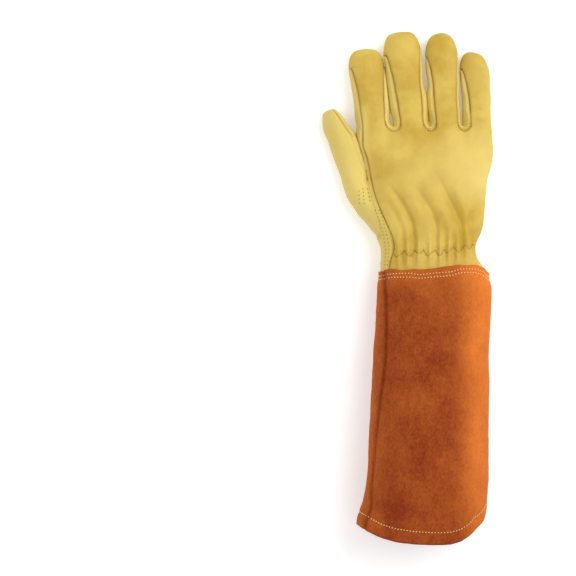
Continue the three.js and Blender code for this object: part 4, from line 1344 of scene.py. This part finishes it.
def grain_group():
    """Smooth leather's grain: fine rounded cells between creases, soft mottling, and a height for both."""
    numbers = {"Cell Density": 900.0, "Mottle Density": 30.0}
    group, start, end = new_group("leather_grain", numbers, ("Mottle", "Creases", "Height"))
    place = {"Vector": start.outputs["Vector"], "Scale": start.outputs["Cell Density"]}
    cells = add_node(group, "ShaderNodeTexVoronoi", {"feature": "DISTANCE_TO_EDGE"}, **place)
    fine = noise(group, *place.values(), 2.0)
    mottle = noise(group, start.outputs["Vector"], start.outputs["Mottle Density"], 5.0, 0.6)
    creases = ramp(group, cells.outputs["Distance"], 0.0, 0.12)
    height = do_math(group, "ADD", do_math(group, "MULTIPLY", fine, 0.5), do_math(group, "MULTIPLY", creases, 0.6))
    plug(group, end, Mottle=mottle, Creases=creases, Height=height)
    return group


def nap_group():
    """Suede's nap: short brushed fibres, clouds where the nap lies another way, and small rubbed specks."""
    numbers = {"Fibre Density": 700.0, "Cloud Density": 14.0, "Speck Density": 190.0}
    group, start, end = new_group("suede_nap", numbers, ("Cloud", "Fibre", "Speck", "Height"))
    brushed = add_node(group, "ShaderNodeMapping", Vector=start.outputs["Vector"], Scale=(1.0, 0.55, 1.0)).outputs[0]
    cloud = noise(group, start.outputs["Vector"], start.outputs["Cloud Density"], 6.0, 0.62)
    fibre = noise(group, brushed, start.outputs["Fibre Density"], 3.0, 0.7)
    speck = noise(group, brushed, start.outputs["Speck Density"], 4.0, 0.7)
    height = do_math(group, "ADD", fibre, do_math(group, "MULTIPLY", speck, 0.9))
    plug(group, end, Cloud=cloud, Fibre=fibre, Speck=speck, Height=height)
    return group


def new_material(name):
    """An empty material with its shader, the object's coordinates and a bump node ready."""
    material = bpy.data.materials.new(name)
    material.use_nodes = True
    tree = material.node_tree
    shader = tree.nodes["Principled BSDF"]
    place = tree.nodes.new("ShaderNodeTexCoord").outputs["Object"]
    bump = tree.nodes.new("ShaderNodeBump")
    tree.links.new(bump.outputs[0], shader.inputs["Normal"])
    return material, tree, shader, place, bump


def mask_value(tree, name):
    """A point attribute of the panels as a value."""
    return add_node(tree, "ShaderNodeAttribute", {"attribute_name": name}).outputs["Fac"]


@functools.lru_cache
def leather_material():
    """Soft yellow grain leather, paler by its tone, which holds painted light, and darker and browner down in the seams
    as painted shade.
    """
    colours = bpy.context.scene.gauntlet_colours
    material, tree, shader, place, bump = new_material("yellow_leather")
    grain = add_node(tree, "ShaderNodeGroup", {"node_tree": grain_group()}, Vector=place).outputs
    brown = colours.leather_seam_shade[:]
    tone = mix_colour(tree, mask_value(tree, "tone"), colours.leather_deep[:], colours.leather_pale[:])
    mottled = mix_colour(tree, ramp(tree, grain["Mottle"], 0.4, 0.62), tone, colours.leather_rubbed[:])
    soft = mix_colour(tree, 0.5, tone, mottled)
    lines = do_math(tree, "MULTIPLY", do_math(tree, "SUBTRACT", 1.0, grain["Creases"]), 0.1)
    # Painted shade: the seam mask mixes the colour towards the seams' shade colour.
    seams = do_math(tree, "MULTIPLY", mask_value(tree, "seam"), 0.6)
    seam_shaded = mix_colour(tree, seams, mix_colour(tree, lines, soft, brown), brown)
    rough = ramp(tree, grain["Mottle"], 0.3, 0.7, 0.52, 0.66)
    plug(tree, shader, Base_Color=seam_shaded, Roughness=rough, Specular_IOR_Level=0.35)
    plug(tree, bump, Strength=0.35, Distance=0.0003, Height=grain["Height"])
    return material


@functools.lru_cache
def suede_material():
    """Rust-brown suede, clouded where the nap lies another way, lighter where it catches the light."""
    colours = bpy.context.scene.gauntlet_colours
    material, tree, shader, place, bump = new_material("rust_suede")
    nap = add_node(tree, "ShaderNodeGroup", {"node_tree": nap_group()}, Vector=place).outputs
    shade = mask_value(tree, "tone")
    for key, share in (("Cloud", 0.2), ("Speck", 0.42), ("Fibre", 0.62)):
        off_middle = do_math(tree, "SUBTRACT", nap[key], 0.5)
        shade = do_math(tree, "ADD", shade, do_math(tree, "MULTIPLY", off_middle, share), key == "Fibre")
    toned = mix_colour(tree, shade, colours.suede_dark[:], colours.suede_light[:])
    # Painted shade: the seam mask darkens the suede along its lapped seams.
    seam_shaded = mix_colour(tree, mask_value(tree, "seam"), toned, colours.suede_seam_shade[:])
    plug(tree, shader, Base_Color=seam_shaded, Roughness=0.95, Specular_IOR_Level=0.15)
    plug(tree, shader, Sheen_Weight=0.3, Sheen_Roughness=0.5, Sheen_Tint=colour(SHEEN_TINT))
    plug(tree, bump, Strength=0.6, Distance=0.0006, Height=nap["Height"])
    return material


def thread_material(name, tint):
    """Twisted thread: its colour with a fine diagonal twist in colour and height."""
    material, tree, shader, place, bump = new_material(name)
    twist = noise(tree, place, 2200.0, 1.0)
    dark = tuple(c * 0.7 for c in tint[:3]) + (1.0,)
    plug(tree, shader, Base_Color=mix_colour(tree, ramp(tree, twist, 0.35, 0.65), dark, tint[:]), Roughness=0.7)
    plug(tree, bump, Strength=0.4, Distance=0.0002, Height=twist)
    return material


# What the properties of one kind have in common.
LENGTH = {"unit": "LENGTH", "precision": 5}
COLOUR = {"size": 4, "min": 0, "max": 1, "subtype": "COLOR"}


class GauntletSizes(bpy.types.PropertyGroup):
    """Sizes of the seams, folds and stitches"""

    seam_depth: FloatProperty(
        name="Seam depth", description="How far the leather dips into a seam", default=0.00115, min=0, **LENGTH
    )
    seam_reach: FloatProperty(
        name="Seam reach", description="How far from a seam it starts to dip", default=0.0024, min=0.0005, **LENGTH
    )
    fold_depth: FloatProperty(
        name="Fold depth", description="Depth of the folds, 1 as the real one", default=1, min=0, subtype="FACTOR"
    )
    stitch_pitch: FloatProperty(
        name="Stitch pitch", description="Distance between the cuff's stitches", default=0.00275, min=0.001, **LENGTH
    )
    thread_radius: FloatProperty(
        name="Thread radius", description="Radius of the sewing thread", default=0.00034, min=0.00005, **LENGTH
    )


class GauntletColours(bpy.types.PropertyGroup):
    """Colours of the leather, the suede and the threads"""

    leather_deep: FloatVectorProperty(
        name="Deep leather", description="Leather where it is most yellow", default=colour((186, 152, 48)), **COLOUR
    )
    leather_pale: FloatVectorProperty(
        name="Pale leather", description="Leather where it is palest", default=colour((230, 211, 128)), **COLOUR
    )
    leather_rubbed: FloatVectorProperty(
        name="Rubbed leather", description="Mottling of the leather", default=colour((218, 193, 96)), **COLOUR
    )
    # Painted shade down in the leather's seams.
    leather_seam_shade: FloatVectorProperty(
        name="Leather in seams", description="Leather down in its seams", default=colour((160, 114, 24)), **COLOUR
    )
    # The suede's tone blends dark into light suede; its lighter sides are painted light.
    suede_dark: FloatVectorProperty(
        name="Dark suede", description="Suede with its nap lying flat", default=colour((122, 44, 14)), **COLOUR
    )
    suede_light: FloatVectorProperty(
        name="Light suede", description="Suede with its nap raised", default=colour((212, 116, 44)), **COLOUR
    )
    # Painted shade down in the suede's seams.
    suede_seam_shade: FloatVectorProperty(
        name="Suede in seams", description="Suede down in its seams", default=colour((128, 34, 8)), **COLOUR
    )
    pale_thread: FloatVectorProperty(
        name="Pale thread", description="Thread of the cuff", default=colour((240, 214, 140)), **COLOUR
    )
    brown_thread: FloatVectorProperty(
        name="Brown thread", description="Thread of the hand", default=colour((160, 116, 28)), **COLOUR
    )


def make_panels(net, ending, wall, material, slot):
    """One piece for each panel of a net, standing for the panel's node."""
    for label, node in enumerate(net.names):
        make_piece(f"{node}_{ending}", *panel_arrays(net, label, wall), material, slot, (node,))


class GAUNTLET_OT_hand(bpy.types.Operator):
    """Builds the leather panels of the hand, the fingers' side walls and the thumb"""

    bl_idname = "gauntlet.hand"
    bl_label = "Hand panels"

    def execute(self, context):
        make_panels(hand_net(), "leather", LEATHER_WALL, leather_material(), "leather")
        return {"FINISHED"}


class GAUNTLET_OT_cuff(bpy.types.Operator):
    """Builds the two suede panels of the cuff"""

    bl_idname = "gauntlet.cuff"
    bl_label = "Cuff panels"

    def execute(self, context):
        net = cuff_net()
        wall = SUEDE_WALL * (1 + smoothstep(-net.from_hem, -HEM_TURN - 0.8, -HEM_TURN))
        make_panels(net, "suede", wall, suede_material(), "suede")
        return {"FINISHED"}


class GAUNTLET_OT_hand_stitches(bpy.types.Operator):
    """Sews the rows of stitches of the hand and the scalloped seam of the wrist's elastic"""

    bl_idname = "gauntlet.hand_stitches"
    bl_label = "Hand stitches"

    def execute(self, context):
        net = hand_net()
        radius = context.scene.gauntlet_sizes.thread_radius * MM
        thread = thread_material("brown_thread", context.scene.gauntlet_colours.brown_thread)
        share = np.linspace(0, 1, SHIRRING["scallops"] * 24 + 1)
        path = laid_path(net, shirring_line(share), ELASTIC_STEP, True)
        make_piece("wrist_elastic_thread", *cord_arrays(*path, radius * ELASTIC_SIZE), {}, thread, "leather")
        rows = [laid_path(net, line, HAND_STITCH_PITCH, True) for line in HAND_STITCH_LINES]
        for left, right in zip(FINGERS, FINGERS[1:]):
            guide = fork_lines(left, right, np.linspace(0.0, 1.0, 40))["upper"] + FORK_ROW_OFFSET
            rows.append(laid_path(net, guide[:, :2], FORK_STITCH_PITCH, True))
        rows += [laid_path(net, line, HAND_STITCH_PITCH, False) for line in net.base_rows]
        make_piece("hand_stitches", *thread_rows(rows, radius, HAND_STITCH_LIFT), {}, thread, "leather")
        return {"FINISHED"}


def thumb_base_lines(net):
    """Two rows round the thumb's root where it faces down: the rim pushed away from its middle in plan."""
    places = net.nearest(net.thumb_root)
    places = np.roll(places, -net.normals[places, 2].argmax())
    ring, facing = net.points[places, :2], net.normals[places, 2] < -0.3
    away = unit(ring - ring.mean(0))
    run = slice(facing.argmax(), len(facing) - facing[::-1].argmax())
    return [(ring + away * offset)[run] for offset in THUMB_BASE_ROWS]


class GAUNTLET_OT_cuff_stitches(bpy.types.Operator):
    """Sews the two rows of stitches under the cuff's top edge and the row along its hem"""

    bl_idname = "gauntlet.cuff_stitches"
    bl_label = "Cuff stitches"

    def execute(self, context):
        size = context.scene.gauntlet_sizes
        net = cuff_net()
        thread = thread_material("pale_thread", context.scene.gauntlet_colours.pale_thread)
        angles = np.linspace(CUFF_LITTLE_SEAM, CUFF_LITTLE_SEAM + 360, 240)
        rows = []
        for inset in (*BAND_STITCHES, CUFF_LENGTH - HEM_STITCHES):
            at = np.array(inset / CUFF_LENGTH)
            guide = cuff_point(at, angles)
            guide[:, 1] += edge_shift(guide, at)
            rows.append(laid_path(net, guide, size.stitch_pitch * MM))
        arrays = thread_rows(rows, size.thread_radius * MM * CUFF_THREAD_SIZE, CUFF_STITCH_LIFT)
        make_piece("cuff_stitches", *arrays, {}, thread, "suede")
        return {"FINISHED"}


class GAUNTLET_OT_stage(bpy.types.Operator):
    """Lays the pale floor and sets the soft studio lights and the camera"""

    bl_idname = "gauntlet.stage"
    bl_label = "Stage"

    def execute(self, context):
        scene = context.scene
        mesh = bpy.data.meshes.new("floor")
        corners = [(x * FLOOR_HALF, y * FLOOR_HALF, 0) for x, y in ((-1, -1), (1, -1), (1, 1), (-1, 1))]
        mesh.from_pydata(corners, [], [(0, 1, 2, 3)])
        floor = new_object("floor", mesh)
        plain = bpy.data.materials.new("pale_floor")
        plain.use_nodes = True
        white = (1, 1, 1, 1)
        shader = plain.node_tree.nodes["Principled BSDF"]
        plug(plain.node_tree, shader, Base_Color=(0.9, 0.9, 0.9, 1), Roughness=1.0, Specular_IOR_Level=0.0)
        plug(plain.node_tree, shader, Emission_Color=white, Emission_Strength=FLOOR_GLOW)
        mesh.materials.append(plain)
        scene.world = bpy.data.worlds.new("soft_room")
        scene.world.use_nodes = True
        room = scene.world.node_tree
        plug(room, room.nodes["Background"], Color=white, Strength=ROOM_LIGHT)
        for name, place, power, width in LIGHTS:
            lamp = bpy.data.lights.new(name, "AREA")
            lamp.energy, lamp.size, lamp.shape = power, width, "SQUARE"
            light = new_object(name, lamp)
            light.location = place
            light.rotation_euler = (-Vector(place)).to_track_quat("-Z", "Y").to_euler()
            light.visible_camera = False
        lens = bpy.data.cameras.new("camera")
        lens.sensor_width = SENSOR_WIDTH
        lens.lens = SENSOR_WIDTH * (CAMERA_HEIGHT - MIDDLE_HEIGHT) / PHOTO_SPAN
        lens.clip_end = CAMERA_REACH
        scene.camera = new_object("camera", lens)
        scene.camera.location = (*PHOTO_CENTRE, CAMERA_HEIGHT)
        scene.view_settings.view_transform = "Standard"
        return {"FINISHED"}


class GAUNTLET_PT_panel(bpy.types.Panel):
    """Sizes, colours and steps of the gauntlet"""

    bl_idname = "GAUNTLET_PT_panel"
    bl_label = "Rose pruning gauntlet"
    bl_space_type = "VIEW_3D"
    bl_region_type = "UI"
    bl_category = "Gauntlet"

    def draw(self, context):
        for group in (context.scene.gauntlet_sizes, context.scene.gauntlet_colours):
            for key in group.bl_rna.properties.keys():
                if key not in ("rna_type", "name"):
                    self.layout.prop(group, key)
        for step in STEPS:
            self.layout.operator(step.bl_idname)


STEPS = (GAUNTLET_OT_hand, GAUNTLET_OT_cuff, GAUNTLET_OT_hand_stitches, GAUNTLET_OT_cuff_stitches, GAUNTLET_OT_stage)
CLASSES = (GauntletSizes, GauntletColours, *STEPS, GAUNTLET_PT_panel)


def register():
    """Registers the classes and hangs the two groups of values on the scene."""
    for item in CLASSES:
        bpy.utils.register_class(item)
    bpy.types.Scene.gauntlet_sizes = PointerProperty(type=GauntletSizes)
    bpy.types.Scene.gauntlet_colours = PointerProperty(type=GauntletColours)


def unregister():
    """Takes the groups and the classes away again."""
    del bpy.types.Scene.gauntlet_colours
    del bpy.types.Scene.gauntlet_sizes
    for item in reversed(CLASSES):
        bpy.utils.unregister_class(item)


def main():
    """Builds the gauntlet and its stage."""
    register()
    bpy.ops.gauntlet.hand()
    bpy.ops.gauntlet.cuff()
    bpy.ops.gauntlet.hand_stitches()
    bpy.ops.gauntlet.cuff_stitches()
    bpy.ops.gauntlet.stage()


if __name__ == "__main__":
    main()
